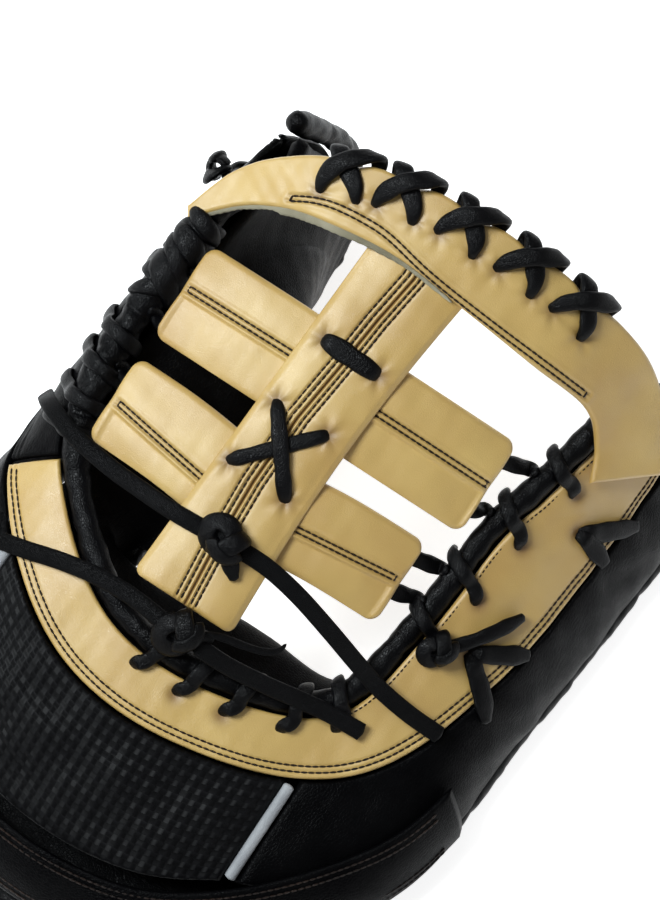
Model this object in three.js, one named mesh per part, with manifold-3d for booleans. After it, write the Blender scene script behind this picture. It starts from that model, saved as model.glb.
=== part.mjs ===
// First baseman mitt, left hand, resting with its pocket down. Millimetres.
// The mitt is drawn in its web's own frame: X to the thumb, Y up the post to the rim, Z out of the web.
// At the end a group tips that frame so that the outer edge lies flat on the surface below.
import * as THREE from 'three';
import Module from 'manifold-3d';
import { mergeVertices } from 'three/addons/utils/BufferGeometryUtils.js';

const wasm = await Module();
wasm.setup();

// Overall sizes
const openingHalfWidth = 80;
const openingHalfLength = 92;
const heelReach = 203;
const handHalfWidth = 100;
const postHeight = 100;
const archDrop = 18;
const postCentre = -9;
const rise = THREE.MathUtils.degToRad(17);
const bank = THREE.MathUtils.degToRad(11);

// Leather, padding and clearance
const leather = 2.6;
const palmLeather = 7;
const heelPadding = 8;
const handRoom = 36;
const panelGap = 0.9;
const seamGap = 1.4;
const gap = 0.4;

// Web
const webLeather = 3.2;
const postWidth = 41;
const postWaist = 2.2;
const postFoot = -75.5;
const postLean = 8;
const barStart = -73.3;
const upperBar = { length: 129, width: 38, middle: 17 };
const lowerBar = { length: 121, width: 34, middle: -29 };
const rimReach = 186;
const rimDepth = 32;

// Edge rolls
const webRoll = 9;
const outerRoll = 9;
const pipingWidth = 3;

// Panels
const collarCrotch = 27;
const collarSide = 44;
const handBackEnd = 0.64;
const wristCentre = 0.5;
const wristHalf = 0.055;
const strapWidth = 22;
const strapPlace = 0.77;
const strapEnds = { thumb: 0.37, finger: 0.63 };

// Lace
const laceWidth = 6.5;
const laceThick = 2.2;
const holeSetback = 15;
const rimHoleSetback = 13;
const knotSize = 14;
const cordSides = 8;

// Sections round the opening, from the thumb tip past the crotch to the finger tip.
// inX, inY: the opening's edge, as shares of its half width and half length.
// outX, outY: the outer edge, as shares of the hand's half width and the heel's reach.
// lift: how far the outer edge is up from the surface to the opening's edge.
const edgeRows = [
  { inX: 1.00, inY: 0.72, outX: 1.03, outY: 0.430, lift: 0.93 },
  { inX: 0.97, inY: 0.62, outX: 1.15, outY: 0.430, lift: 0.50 },
  { inX: 0.94, inY: 0.50, outX: 1.24, outY: 0.350, lift: 0.12 },
  { inX: 0.88, inY: 0.28, outX: 1.26, outY: 0.200, lift: 0.00 },
  { inX: 0.81, inY: 0.05, outX: 1.23, outY: 0.040, lift: 0.00 },
  { inX: 0.76, inY: -0.42, outX: 1.16, outY: -0.240, lift: 0.00 },
  { inX: 0.62, inY: -0.84, outX: 1.02, outY: -0.640, lift: 0.00 },
  { inX: 0.10, inY: -1.00, outX: 0.44, outY: -0.955, lift: 0.00 },
  { inX: -0.38, inY: -0.97, outX: -0.42, outY: -0.950, lift: 0.00 },
  { inX: -0.80, inY: -0.70, outX: -0.93, outY: -0.620, lift: 0.00 },
  { inX: -1.00, inY: -0.42, outX: -0.74, outY: -0.240, lift: 0.00 },
  { inX: -1.04, inY: -0.04, outX: -0.45, outY: 0.020, lift: 0.00 },
  { inX: -1.01, inY: 0.30, outX: -0.39, outY: 0.245, lift: 0.00 },
  { inX: -0.99, inY: 0.52, outX: -0.42, outY: 0.385, lift: 0.12 },
  { inX: -0.96, inY: 0.65, outX: -0.56, outY: 0.470, lift: 0.50 },
  { inX: -0.92, inY: 0.74, outX: -0.78, outY: 0.440, lift: 0.93 },
];

// The form of the same sections.
// flat, drop: how far the back heads outward and down from the opening, as shares of the post's height.
// wall, belly: how far it stands up and out over the outer edge, as shares of the post's height.
// room: the hollow between palm and back, as a share of the hand's room.
// lip: how far the palm swells under the web, as a share of the opening's half length.
const formRows = [
  { flat: 0.03, drop: 0.02, belly: 0.00, wall: 0.04, room: 0.05, lip: 0.00 },
  { flat: 0.07, drop: 0.03, belly: 0.02, wall: 0.12, room: 0.10, lip: 0.00 },
  { flat: 0.11, drop: 0.04, belly: 0.03, wall: 0.22, room: 0.18, lip: 0.00 },
  { flat: 0.15, drop: 0.04, belly: 0.04, wall: 0.30, room: 0.26, lip: 0.00 },
  { flat: 0.18, drop: 0.04, belly: 0.05, wall: 0.32, room: 0.34, lip: 0.00 },
  { flat: 0.24, drop: 0.02, belly: 0.05, wall: 0.30, room: 0.55, lip: 0.02 },
  { flat: 0.42, drop: 0.00, belly: 0.02, wall: 0.26, room: 0.85, lip: 0.30 },
  { flat: 0.72, drop: 0.00, belly: 0.00, wall: 0.24, room: 1.00, lip: 0.55 },
  { flat: 0.72, drop: 0.00, belly: 0.00, wall: 0.26, room: 1.00, lip: 0.42 },
  { flat: 0.34, drop: 0.04, belly: 0.04, wall: 0.40, room: 0.80, lip: 0.12 },
  { flat: 0.18, drop: 0.14, belly: 0.12, wall: 0.48, room: 0.50, lip: 0.00 },
  { flat: 0.14, drop: 0.20, belly: 0.22, wall: 0.52, room: 0.36, lip: 0.00 },
  { flat: 0.12, drop: 0.20, belly: 0.22, wall: 0.50, room: 0.26, lip: 0.00 },
  { flat: 0.10, drop: 0.14, belly: 0.14, wall: 0.36, room: 0.18, lip: 0.00 },
  { flat: 0.07, drop: 0.07, belly: 0.05, wall: 0.14, room: 0.10, lip: 0.00 },
  { flat: 0.03, drop: 0.02, belly: 0.00, wall: 0.04, room: 0.05, lip: 0.00 },
];

// The rim band from the finger side to the thumb side, as shares of its reach and of the opening's half length.
const rimRows = [
  { inX: -0.462, inY: 0.43, outX: -0.476, outY: 0.47 },
  { inX: -0.387, inY: 0.58, outX: -0.436, outY: 0.68 },
  { inX: -0.312, inY: 0.66, outX: -0.366, outY: 0.83 },
  { inX: -0.226, inY: 0.70, outX: -0.269, outY: 0.94 },
  { inX: -0.080, inY: 0.73, outX: -0.110, outY: 1.02 },
  { inX: 0.086, inY: 0.70, outX: 0.075, outY: 1.04 },
  { inX: 0.242, inY: 0.67, outX: 0.250, outY: 1.02 },
  { inX: 0.371, inY: 0.65, outX: 0.419, outY: 0.95 },
  { inX: 0.430, inY: 0.55, outX: 0.527, outY: 0.78 },
  { inX: 0.462, inY: 0.42, outX: 0.570, outY: 0.60 },
];

// Materials
const blonde = () => new THREE.MeshStandardMaterial({ color: 0xe0c894, roughness: 0.55, metalness: 0 });
const black = () => new THREE.MeshStandardMaterial({ color: 0x1b1b1f, roughness: 0.5, metalness: 0 });
const woven = () => new THREE.MeshStandardMaterial({ color: 0x232328, roughness: 0.8, metalness: 0 });
const grey = () => new THREE.MeshStandardMaterial({ color: 0xa8abae, roughness: 0.6, metalness: 0 });
const suede = () => new THREE.MeshStandardMaterial({ color: 0x303036, roughness: 0.85, metalness: 0 });

const group = new THREE.Group();
const mitt = new THREE.Group();
group.add(mitt);

function addPiece(name, geometry, material) {
  const mesh = new THREE.Mesh(geometry, material);
  mesh.name = name;
  mitt.add(mesh);
  return mesh;
}

// Vectors of the web's frame
const vec = (x, y, z) => new THREE.Vector3(x, y, z);
const outOfWeb = vec(0, 0, 1);
const tip = new THREE.Matrix4().makeRotationFromEuler(new THREE.Euler(rise, bank, 0));
const upward = vec(0, 0, 1).transformDirection(tip.clone().transpose());

function mix(a, b, share) {
  return a.clone().lerp(b, share);
}

// Height of the resting surface under a point of the web's frame
function floorAt(x, y) {
  return -(postHeight + upward.x * x + upward.y * y) / upward.z;
}

// The web is arched across, highest along the post
function archAt(x) {
  return -archDrop * ((x - postCentre) / openingHalfWidth) ** 2;
}

// A smooth curve through one pair or triple of columns of a table
function columnCurve(rows, pick) {
  return new THREE.CatmullRomCurve3(rows.map(pick), false, 'catmullrom', 0.5);
}

// A closed body from a grid of points: place(s, t, side) with side 1 on one face and -1 on the other
function sheet(place, rows, columns) {
  const position = [];
  const index = [];
  const layer = (rows + 1) * (columns + 1);
  for (const side of [1, -1]) {
    for (let i = 0; i <= rows; i += 1) {
      for (let j = 0; j <= columns; j += 1) {
        position.push(...place(i / rows, j / columns, side).toArray());
      }
    }
  }
  const top = (i, j) => i * (columns + 1) + j;
  const under = (i, j) => layer + top(i, j);
  const quad = (a, b, c, d) => index.push(a, b, c, a, c, d);
  for (let i = 0; i < rows; i += 1) {
    for (let j = 0; j < columns; j += 1) {
      quad(top(i, j), top(i + 1, j), top(i + 1, j + 1), top(i, j + 1));
      quad(under(i, j), under(i, j + 1), under(i + 1, j + 1), under(i + 1, j));
    }
    quad(top(i, 0), under(i, 0), under(i + 1, 0), top(i + 1, 0));
    quad(top(i, columns), top(i + 1, columns), under(i + 1, columns), under(i, columns));
  }
  for (let j = 0; j < columns; j += 1) {
    quad(top(0, j), top(0, j + 1), under(0, j + 1), under(0, j));
    quad(top(rows, j), under(rows, j), under(rows, j + 1), top(rows, j + 1));
  }
  return body(position, index);
}

// A closed body from a section carried along points: section holds [side, up] pairs
function sweep(points, ups, section) {
  const position = [];
  const index = [];
  const last = points.length - 1;
  const sides = section.length;
  points.forEach((point, i) => {
    const ahead = points[Math.min(i + 1, last)];
    const behind = points[Math.max(i - 1, 0)];
    const along = ahead.clone().sub(behind).normalize();
    const side = along.clone().cross(ups[i]).normalize();
    const up = side.clone().cross(along).normalize();
    for (const [across, high] of section) {
      const corner = point.clone().addScaledVector(side, across).addScaledVector(up, high);
      position.push(...corner.toArray());
    }
  });
  for (let i = 0; i < last; i += 1) {
    for (let j = 0; j < sides; j += 1) {
      const k = (j + 1) % sides;
      const a = i * sides + j;
      const b = i * sides + k;
      index.push(a, b, b + sides, a, b + sides, a + sides);
    }
  }
  for (let j = 1; j < sides - 1; j += 1) {
    index.push(0, j + 1, j);
    index.push(last * sides, last * sides + j, last * sides + j + 1);
  }
  return body(position, index);
}

// Turns a body's faces outward if it was drawn the other way round
function body(position, index) {
  const corner = (i) => vec(position[3 * i], position[3 * i + 1], position[3 * i + 2]);
  let volume = 0;
  for (let i = 0; i < index.length; i += 3) {
    volume += corner(index[i]).dot(corner(index[i + 1]).cross(corner(index[i + 2])));
  }
  if (volume < 0) {
    index.reverse();
  }
  const geometry = new THREE.BufferGeometry();
  geometry.setAttribute('position', new THREE.Float32BufferAttribute(position, 3));
  geometry.setIndex(index);
  return geometry;
}

function solid(geometry) {
  const bare = geometry.clone();
  bare.deleteAttribute('normal');
  bare.deleteAttribute('uv');
  const merged = mergeVertices(bare, 1e-3);
  return new wasm.Manifold(new wasm.Mesh({
    numProp: 3,
    vertProperties: new Float32Array(merged.attributes.position.array),
    triVerts: new Uint32Array(merged.index.array),
  }));
}

// Pieces of one lace that cross or knot are joined into one body
function joined(geometries) {
  const whole = geometries.map(solid).reduce((all, next) => all.add(next)).getMesh();
  const geometry = new THREE.BufferGeometry();
  geometry.setAttribute('position', new THREE.Float32BufferAttribute(whole.vertProperties, 3));
  geometry.setIndex(Array.from(whole.triVerts));
  return geometry;
}

function roundSection(width, height, sides) {
  return Array.from({ length: sides }, (_, i) => {
    const angle = (2 * Math.PI * (i + 0.5)) / sides;
    return [(width / 2) * Math.cos(angle), (height / 2) * Math.sin(angle)];
  });
}

const flatLace = [
  [-laceWidth / 2, -laceThick / 2],
  [laceWidth / 2, -laceThick / 2],
  [laceWidth / 2, laceThick / 2],
  [-laceWidth / 2, laceThick / 2],
];

// The back's surface is a Bezier curve from the opening's edge to the outer edge, at each share round the opening
const inCurve = columnCurve(edgeRows, (r) => vec(r.inX * openingHalfWidth, r.inY * openingHalfLength, 0));
const outCurve = columnCurve(edgeRows, (r) => vec(r.outX * handHalfWidth, r.outY * heelReach, r.lift));
const startCurve = columnCurve(formRows, (r) => vec(r.flat * postHeight, -r.drop * postHeight, 0));
const endCurve = columnCurve(formRows, (r) => vec(r.belly * postHeight, r.wall * postHeight, 0));
const hollowCurve = columnCurve(formRows, (r) => vec(r.room * handRoom, r.lip * openingHalfLength, 0));

function openingEdge(share) {
  const p = inCurve.getPoint(share);
  return p.setZ(archAt(p.x) - 1.5 * webLeather - 2 * gap - webRoll / 2);
}

function outerEdge(share) {
  const p = outCurve.getPoint(share);
  const lift = Math.max(p.z, 0);
  const low = floorAt(p.x, p.y) + outerRoll / 2 / upward.z;
  return p.setZ(low + lift * (openingEdge(share).z - low));
}

function outward(share) {
  const t = inCurve.getTangent(share);
  return vec(-t.y, t.x, 0).normalize();
}

const meridians = new Map();
function meridian(share) {
  const key = share.toFixed(6);
  if (!meridians.has(key)) {
    const leave = startCurve.getPoint(share);
    const arrive = endCurve.getPoint(share);
    const start = openingEdge(share);
    const end = outerEdge(share);
    const lift = THREE.MathUtils.clamp(1.5 * outCurve.getPoint(share).z, 0, 1);
    const arrival = mix(upward, start.clone().sub(end).normalize(), lift).normalize();
    meridians.set(key, new THREE.CubicBezierCurve3(
      start,
      start.clone().addScaledVector(outward(share), leave.x).addScaledVector(outOfWeb, leave.y),
      end.clone().addScaledVector(arrival, arrive.y).addScaledVector(outward(share), arrive.x),
      end,
    ));
  }
  return meridians.get(key);
}

// The normal of a surface given by a function of two shares
function normalOf(surface, share, run) {
  const step = 0.002;
  const s0 = Math.max(share - step, 0);
  const s1 = Math.min(share + step, 1);
  const r0 = Math.max(run - step, 0);
  const r1 = Math.min(run + step, 1);
  const alongEdge = surface(s1, run).sub(surface(s0, run));
  const acrossEdge = surface(share, r1).sub(surface(share, r0));
  return alongEdge.cross(acrossEdge).normalize();
}

const backAt = (share, run) => meridian(share).getPointAt(run);
const backNormal = (share, run) => normalOf(backAt, share, run);
const runAt = (share, distance) => distance / meridian(share).getLength();

// A point of the back's surface, raised by a height
function onBack(share, run, height) {
  return backAt(share, run).addScaledVector(backNormal(share, run), height);
}

// The palm hangs under the back by the hand's room, and swells under the web at the crotch
function palmAt(share, run) {
  const first = startOf(share);
  const down = THREE.MathUtils.clamp((run - first) / (1 - first), 0, 1);
  const hollow = hollowCurve.getPoint(share);
  const depth = hollow.x * Math.sin(Math.PI * down) ** THREE.MathUtils.lerp(0.6, 1.1, down);
  const swell = hollow.y * Math.sin(Math.PI * down ** 0.6) ** 1.5;
  const point = onBack(share, run, -gap - palmLeather / 2 - (webRoll / 2) * (1 - down) - depth);
  point.y += swell;
  return point;
}

function palmThickness(share, run) {
  const nearHeel = Math.exp(-(((share - 0.5) / 0.16) ** 2));
  return palmLeather + heelPadding * nearHeel * run ** 3 * (1 - run) * 4;
}

// Panel runs start and end a roll's radius from the edges
const startOf = (share) => runAt(share, webRoll / 2 + panelGap);
function endOf(share) {
  const edge = outerEdge(Math.min(share + 0.005, 1)).sub(outerEdge(Math.max(share - 0.005, 0))).normalize();
  const slant = meridian(share).getTangentAt(1).cross(edge).length();
  return 1 - runAt(share, (outerRoll / 2 + panelGap) / slant);
}

// The back stops short of the heel, where the hand goes in
function wristEdge(share) {
  const sideways = THREE.MathUtils.smoothstep(Math.abs(share - wristCentre), wristHalf, wristHalf + 0.06);
  return THREE.MathUtils.lerp(handBackEnd, endOf(share), sideways);
}

const collarShare = { thumb: 0.02, finger: 0.98 };
function collarWidth(share) {
  const towardThumb = THREE.MathUtils.smoothstep(-share, -0.42, -0.26);
  return THREE.MathUtils.lerp(collarCrotch, collarSide, towardThumb);
}
const collarEnd = (share) => Math.min(runAt(share, collarWidth(share)), 0.62);

// Seams of the back of the hand run from the collar to the heel
const thumbSeam = (run) => THREE.MathUtils.lerp(0.40, 0.46, run);
const fingerSeam = (run) => THREE.MathUtils.lerp(0.61, 0.515, run);
const seamHalf = (run, share) => (pipingWidth / 2 + seamGap) / (backSpan(share, run) * 100);

// How far one hundredth of the way round is, at a point of the back
function backSpan(share, run) {
  return backAt(share + 0.005, run).distanceTo(backAt(share - 0.005, run));
}

// Where a seam is crossed at part t of the way from a panel's start to its end
function seamAt(seam, start, end, t) {
  let share = seam(t);
  for (let i = 0; i < 6; i += 1) {
    share = seam(THREE.MathUtils.lerp(start(share), end(share), t));
  }
  return share;
}

function panel(name, from, to, start, end, rows, columns, material) {
  const place = (s, t, side) => {
    const share = THREE.MathUtils.lerp(seamAt(from, start, end, t), seamAt(to, start, end, t), s);
    const run = THREE.MathUtils.lerp(start(share), end(share), t);
    return onBack(share, run, gap + (leather * (1 + side)) / 2);
  };
  addPiece(name, sheet(place, rows, columns), material);
}

function palmShell() {
  const place = (s, t, side) => {
    const share = THREE.MathUtils.lerp(0.01, 0.99, s);
    const run = THREE.MathUtils.lerp(startOf(share), endOf(share) + runAt(share, panelGap + gap), t ** 1.3);
    const out = normalOf(palmAt, share, run);
    return palmAt(share, run).addScaledVector(out, (side * palmThickness(share, run)) / 2);
  };
  addPiece('palm_shell', sheet(place, 44, 9), black());
}

function backPanels() {
  const fixed = (value) => () => value;
  const pastCollar = (share) => collarEnd(share) + runAt(share, panelGap);
  const thumbTip = fixed(collarShare.thumb);
  const fingerTip = fixed(collarShare.finger);
  panel('back_collar', thumbTip, fingerTip, startOf, collarEnd, 44, 3, blonde());
  const thumbEdge = (run) => thumbSeam(run) - seamHalf(run, thumbSeam(run));
  const handThumbEdge = (run) => thumbSeam(run) + seamHalf(run, thumbSeam(run));
  const handFingerEdge = (run) => fingerSeam(run) - seamHalf(run, fingerSeam(run));
  const fingerEdge = (run) => fingerSeam(run) + seamHalf(run, fingerSeam(run));
  panel('thumb_back', thumbTip, thumbEdge, pastCollar, wristEdge, 20, 5, black());
  panel('hand_back', handThumbEdge, handFingerEdge, pastCollar, wristEdge, 8, 4, woven());
  panel('finger_back', fingerEdge, fingerTip, pastCollar, wristEdge, 22, 6, black());
}

function piping(name, seam) {
  const steps = 10;
  const points = [];
  const ups = [];
  for (let i = 0; i <= steps; i += 1) {
    const first = collarEnd(seam(0.2)) + runAt(seam(0.2), panelGap + pipingWidth / 2);
    const run = THREE.MathUtils.lerp(first, handBackEnd, i / steps);
    points.push(onBack(seam(run), run, gap + leather / 2));
    ups.push(backNormal(seam(run), run));
  }
  addPiece(name, sweep(points, ups, roundSection(pipingWidth, pipingWidth, 6)), grey());
}

function wristStrap() {
  const place = (s, t, side) => {
    const share = THREE.MathUtils.lerp(strapEnds.thumb, strapEnds.finger, s);
    const run = strapPlace + runAt(share, strapWidth * (t - 0.5));
    return onBack(share, run, gap + seamGap + leather + (leather * (1 + side)) / 2);
  };
  addPiece('wrist_strap', sheet(place, 18, 2), blonde());
}

function webEdgeRoll() {
  const steps = 48;
  const shares = Array.from({ length: steps + 1 }, (_, i) => THREE.MathUtils.lerp(0.01, 0.99, i / steps));
  const points = shares.map(openingEdge);
  addPiece('web_edge_roll', sweep(points, shares.map(() => outOfWeb), roundSection(webRoll, webRoll, 8)), black());
}

function outerEdgeRoll() {
  const steps = 48;
  const shares = Array.from({ length: steps + 1 }, (_, i) => THREE.MathUtils.lerp(0.01, 0.99, i / steps));
  const points = shares.map(outerEdge);
  const flatFoot = 1 / Math.cos(Math.PI / 8);
  const section = roundSection(outerRoll * flatFoot, outerRoll * flatFoot, 8);
  addPiece('outer_edge_roll', sweep(points, shares.map(() => upward), section), black());
}

// Web pieces lie at a height over the arch
function onWeb(x, y, height) {
  return vec(x, y, archAt(x) + height);
}

function webPost() {
  const top = rimEdge(0.5, 0).y + rimDepth / 2;
  const place = (s, t, side) => {
    const y = THREE.MathUtils.lerp(postFoot, top, s);
    const waist = postWaist * Math.sin(Math.PI * s);
    const half = postWidth / 2 - waist;
    const middle = postCentre + postLean * (s - 0.5) - waist;
    const corner = s === 0 ? laceWidth / 2 : 0;
    return onWeb(middle + (2 * t - 1) * (half - corner), y, (side * webLeather) / 2);
  };
  addPiece('web_post', sheet(place, 14, 6), blonde());
}

function webBar(name, bar) {
  const place = (s, t, side) => {
    const x = barStart + bar.length * s;
    const y = bar.middle + bar.width * (t - 0.5);
    return onWeb(x, y, -gap - webLeather + (side * webLeather) / 2);
  };
  addPiece(name, sheet(place, 14, 2), blonde());
}

const rimInner = columnCurve(rimRows, (r) => vec(r.inX * rimReach, r.inY * openingHalfLength, 0));
const rimOuter = columnCurve(rimRows, (r) => vec(r.outX * rimReach, r.outY * openingHalfLength, 0));
function rimEdge(share, across) {
  return mix(rimInner.getPoint(share), rimOuter.getPoint(share), across);
}

// The rim lies over the post in the middle, and comes down onto the edge roll at its ends
function rimHeight(share) {
  const ends = THREE.MathUtils.smoothstep(Math.abs(share - 0.5), 0.15, 0.42);
  return (gap + webLeather) * (1 - 1.85 * ends);
}

function rimAt(share, across) {
  const p = rimEdge(share, across);
  return onWeb(p.x, p.y, rimHeight(share));
}
const rimNormal = (share, across) => normalOf(rimAt, share, across);

function webRim() {
  const place = (s, t, side) => rimAt(s, t).addScaledVector(rimNormal(s, t), (side * webLeather) / 2);
  addPiece('web_rim', sheet(place, 24, 3), blonde());
}

// A lace's middle lies this far over the face that it lies on
const laceLift = gap + laceThick / 2;
const overPanel = panelGap + leather + laceLift;
const overPost = webLeather / 2 + laceLift;
const underBar = -gap - 1.5 * webLeather - laceLift;
const overRoll = webRoll / 2 + panelGap + laceThick / 2;

// The share round the opening where its edge crosses a height on the thumb side or the finger side
function shareAt(y, side) {
  let high = side === 'thumb' ? 0 : 1;
  let low = 0.48;
  for (let i = 0; i < 30; i += 1) {
    const middle = (high + low) / 2;
    if (openingEdge(middle).y > y) {
      high = middle;
    } else {
      low = middle;
    }
  }
  return (high + low) / 2;
}

// A direction square to the edge roll, turned from outward up over the roll
function rollSpoke(share, angle) {
  return outward(share).multiplyScalar(Math.cos(angle)).addScaledVector(outOfWeb, Math.sin(angle));
}

// Points of a lace from a hole in the panel up over the roll to the inside
function wrapPath(holeShare, insideShare) {
  const points = [];
  const ups = [];
  const collarStart = webRoll / 2 + panelGap;
  for (const distance of [holeSetback, (holeSetback + collarStart) / 2, collarStart]) {
    const run = runAt(holeShare, distance);
    points.push(onBack(holeShare, run, overPanel));
    ups.push(backNormal(holeShare, run));
  }
  const low = points[2].clone().sub(openingEdge(holeShare));
  const first = Math.atan2(low.z, low.dot(outward(holeShare)));
  const last = THREE.MathUtils.degToRad(170);
  const steps = 5;
  for (let i = 1; i <= steps; i += 1) {
    const share = THREE.MathUtils.lerp(holeShare, insideShare, i / steps);
    const spoke = rollSpoke(share, THREE.MathUtils.lerp(first, last, i / steps));
    points.push(openingEdge(share).addScaledVector(spoke, THREE.MathUtils.lerp(low.length(), overRoll, i / steps)));
    ups.push(spoke);
  }
  return { points, ups };
}

function edgeWrap(name, holeShare, insideShare) {
  const { points, ups } = wrapPath(holeShare, insideShare);
  addPiece(name, sweep(points, ups, flatLace), black());
}

// Holes in the panel, and where the lace comes over the roll, by their height on the web
const thumbWraps = [
  { hole: 31, inside: 40 },
  { hole: 6, inside: 17 },
  { hole: -19, inside: -9 },
];
const fingerWraps = [
  { hole: 20, inside: 14 },
  { hole: -4, inside: -10 },
  { hole: -30, inside: -37 },
];
const crotchWraps = [
  { hole: 0.452, inside: 0.44 },
  { hole: 0.478, inside: 0.466 },
];

function edgeWraps() {
  thumbWraps.forEach((w, i) => {
    edgeWrap(`thumb_wrap_${i + 1}`, shareAt(w.hole, 'thumb'), shareAt(w.inside, 'thumb'));
  });
  fingerWraps.forEach((w, i) => {
    edgeWrap(`finger_wrap_${i + 1}`, shareAt(w.hole, 'finger'), shareAt(w.inside, 'finger'));
  });
  crotchWraps.forEach((w, i) => {
    edgeWrap(`crotch_wrap_${i + 1}`, w.hole, w.inside);
  });
}

// Short straps from under a bar's end to the inner side of the edge roll
const tieRows = [
  { bar: upperBar, side: 'thumb', y: 28 },
  { bar: upperBar, side: 'thumb', y: 7.5 },
  { bar: lowerBar, side: 'thumb', y: -18 },
  { bar: lowerBar, side: 'thumb', y: -32 },
  { bar: upperBar, side: 'finger', y: 25 },
  { bar: upperBar, side: 'finger', y: 3 },
  { bar: lowerBar, side: 'finger', y: -20 },
];

function barTies() {
  const tucked = 8;
  tieRows.forEach(({ bar, side, y }, i) => {
    const share = shareAt(y, side);
    const end = side === 'thumb' ? barStart + bar.length : barStart;
    const inward = side === 'thumb' ? -1 : 1;
    const points = [end + inward * tucked, end].map((x) => onWeb(x, y, underBar));
    const besideRoll = openingEdge(share).addScaledVector(outward(share), -webRoll / 2 - laceThick - gap);
    points.push(besideRoll);
    addPiece(`bar_tie_${i + 1}`, sweep(points, points.map(() => outOfWeb), flatLace), black());
  });
}

// A lace over the post between two points of the web, bowed up in the middle
function postStrip(from, to, bow) {
  const steps = 6;
  const points = [];
  for (let i = 0; i <= steps; i += 1) {
    const x = THREE.MathUtils.lerp(from.x, to.x, i / steps);
    const y = THREE.MathUtils.lerp(from.y, to.y, i / steps);
    points.push(onWeb(x, y, overPost + bow * Math.sin((Math.PI * i) / steps)));
  }
  return sweep(points, points.map(() => outOfWeb), flatLace);
}

function postLaces() {
  const bar = postStrip(vec(-21.2, 29.4, 0), vec(0.8, 29, 0), laceThick / 4);
  const under = postStrip(vec(-26.2, -24.1, 0), vec(-2.4, 1.8, 0), laceThick / 4);
  const over = postStrip(vec(-23.4, 1.9, 0), vec(-2.3, -25.4, 0), laceThick);
  addPiece('post_lace_bar', bar, black());
  addPiece('post_lace_cross', joined([under, over]), black());
}

// The direction square to the rim's outer edge, in its surface
function rimOutside(share) {
  const along = rimAt(share + 0.01, 1).sub(rimAt(share - 0.01, 1));
  return rimNormal(share, 1).cross(along).normalize();
}

// A lace from a hole in the rim over its outer edge, drifting to the thumb from hole to edge
function rimStrip(share, hole, edge, raise) {
  const span = rimAt(share + 0.01, 1).distanceTo(rimAt(share - 0.01, 1)) / 0.02;
  const half = webLeather / 2 + panelGap + laceThick / 2;
  const stations = [
    { at: 0, inward: rimHoleSetback, turn: 90, bow: 0 },
    { at: 0.5, inward: 0.45 * rimHoleSetback, turn: 90, bow: 1 },
    { at: 0.8, inward: 0, turn: 90, bow: 0.5 },
    { at: 0.9, inward: 0, turn: 45, bow: 0.2 },
    { at: 1, inward: 0, turn: 0, bow: 0 },
    { at: 1, inward: 0, turn: -55, bow: 0 },
    { at: 1, inward: 0.4 * rimHoleSetback, turn: -90, bow: 0 },
  ];
  const points = [];
  const ups = [];
  for (const { at, inward, turn, bow } of stations) {
    const local = share + THREE.MathUtils.lerp(hole, edge, at) / span;
    const angle = THREE.MathUtils.degToRad(turn);
    const outside = rimOutside(local);
    const spoke = outside.clone().multiplyScalar(Math.cos(angle));
    spoke.addScaledVector(rimNormal(local, 1), Math.sin(angle));
    points.push(rimAt(local, 1).addScaledVector(outside, -inward).addScaledVector(spoke, half + raise * bow));
    ups.push(spoke);
  }
  return sweep(points, ups, flatLace);
}

function rimLaces() {
  const count = 5;
  const first = 0.345;
  const pitch = 0.083;
  for (let i = 0; i < count; i += 1) {
    const share = first + pitch * i;
    const under = rimStrip(share, 3, -6, 0);
    const over = rimStrip(share, -9, 8, laceThick * 0.8);
    addPiece(`rim_lace_${i + 1}`, joined([under, over]), black());
  }
}

// A flat lace over the back between two places, each a share round the opening and a distance out from it
function backStrip(from, to, height) {
  const steps = 5;
  const points = [];
  const ups = [];
  for (let i = 0; i <= steps; i += 1) {
    const share = THREE.MathUtils.lerp(from.share, to.share, i / steps);
    const run = runAt(share, THREE.MathUtils.lerp(from.out, to.out, i / steps));
    points.push(onBack(share, run, height));
    ups.push(backNormal(share, run));
  }
  return sweep(points, ups, flatLace);
}

// Flat lace over the thumb panel: a hole and two arms
const thumbLaceRows = [
  { hole: { share: 0.318, out: 27 }, arms: [{ share: 0.292, out: 46 }, { share: 0.348, out: 50 }] },
  { hole: { share: 0.226, out: 27 }, arms: [{ share: 0.203, out: 48 }, { share: 0.252, out: 46 }] },
];

function thumbLaces() {
  thumbLaceRows.forEach(({ hole, arms }, i) => {
    const strips = arms.map((arm, k) => backStrip(hole, arm, overPanel + gap * k));
    addPiece(`thumb_lace_${i + 1}`, joined(strips), black());
  });
}

// Knots
function knotAt(centre) {
  const lump = new THREE.IcosahedronGeometry(knotSize / 2, 1);
  lump.scale(1, 0.85, 0.72);
  lump.translate(centre.x, centre.y, centre.z);
  return lump;
}

const knotHalfHeight = 0.36 * knotSize;
const upperKnot = onWeb(-12.5, -48.6, webLeather / 2 + gap + knotHalfHeight);
const lowerKnot = onWeb(-8, -84.6, knotHalfHeight - webLeather / 2);

// The knots at the ends of the edge lacing, each with a short tail
const edgeKnots = [
  { name: 'thumb_knot', share: 0.334, out: 14, half: 0.3, tail: { share: 0.272, out: 31 } },
  { name: 'finger_knot', share: 0.885, out: 17, half: 0.42, tail: { share: 0.895, out: 32 } },
];

function knots() {
  addPiece('upper_knot', knotAt(upperKnot), suede());
  addPiece('lower_knot', knotAt(lowerKnot), suede());
  for (const { name, share, out, half, tail } of edgeKnots) {
    const lump = knotAt(onBack(share, runAt(share, out), overPanel + half * knotSize));
    addPiece(name, joined([lump, backStrip({ share, out }, tail, overPanel)]), black());
  }
}

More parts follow.
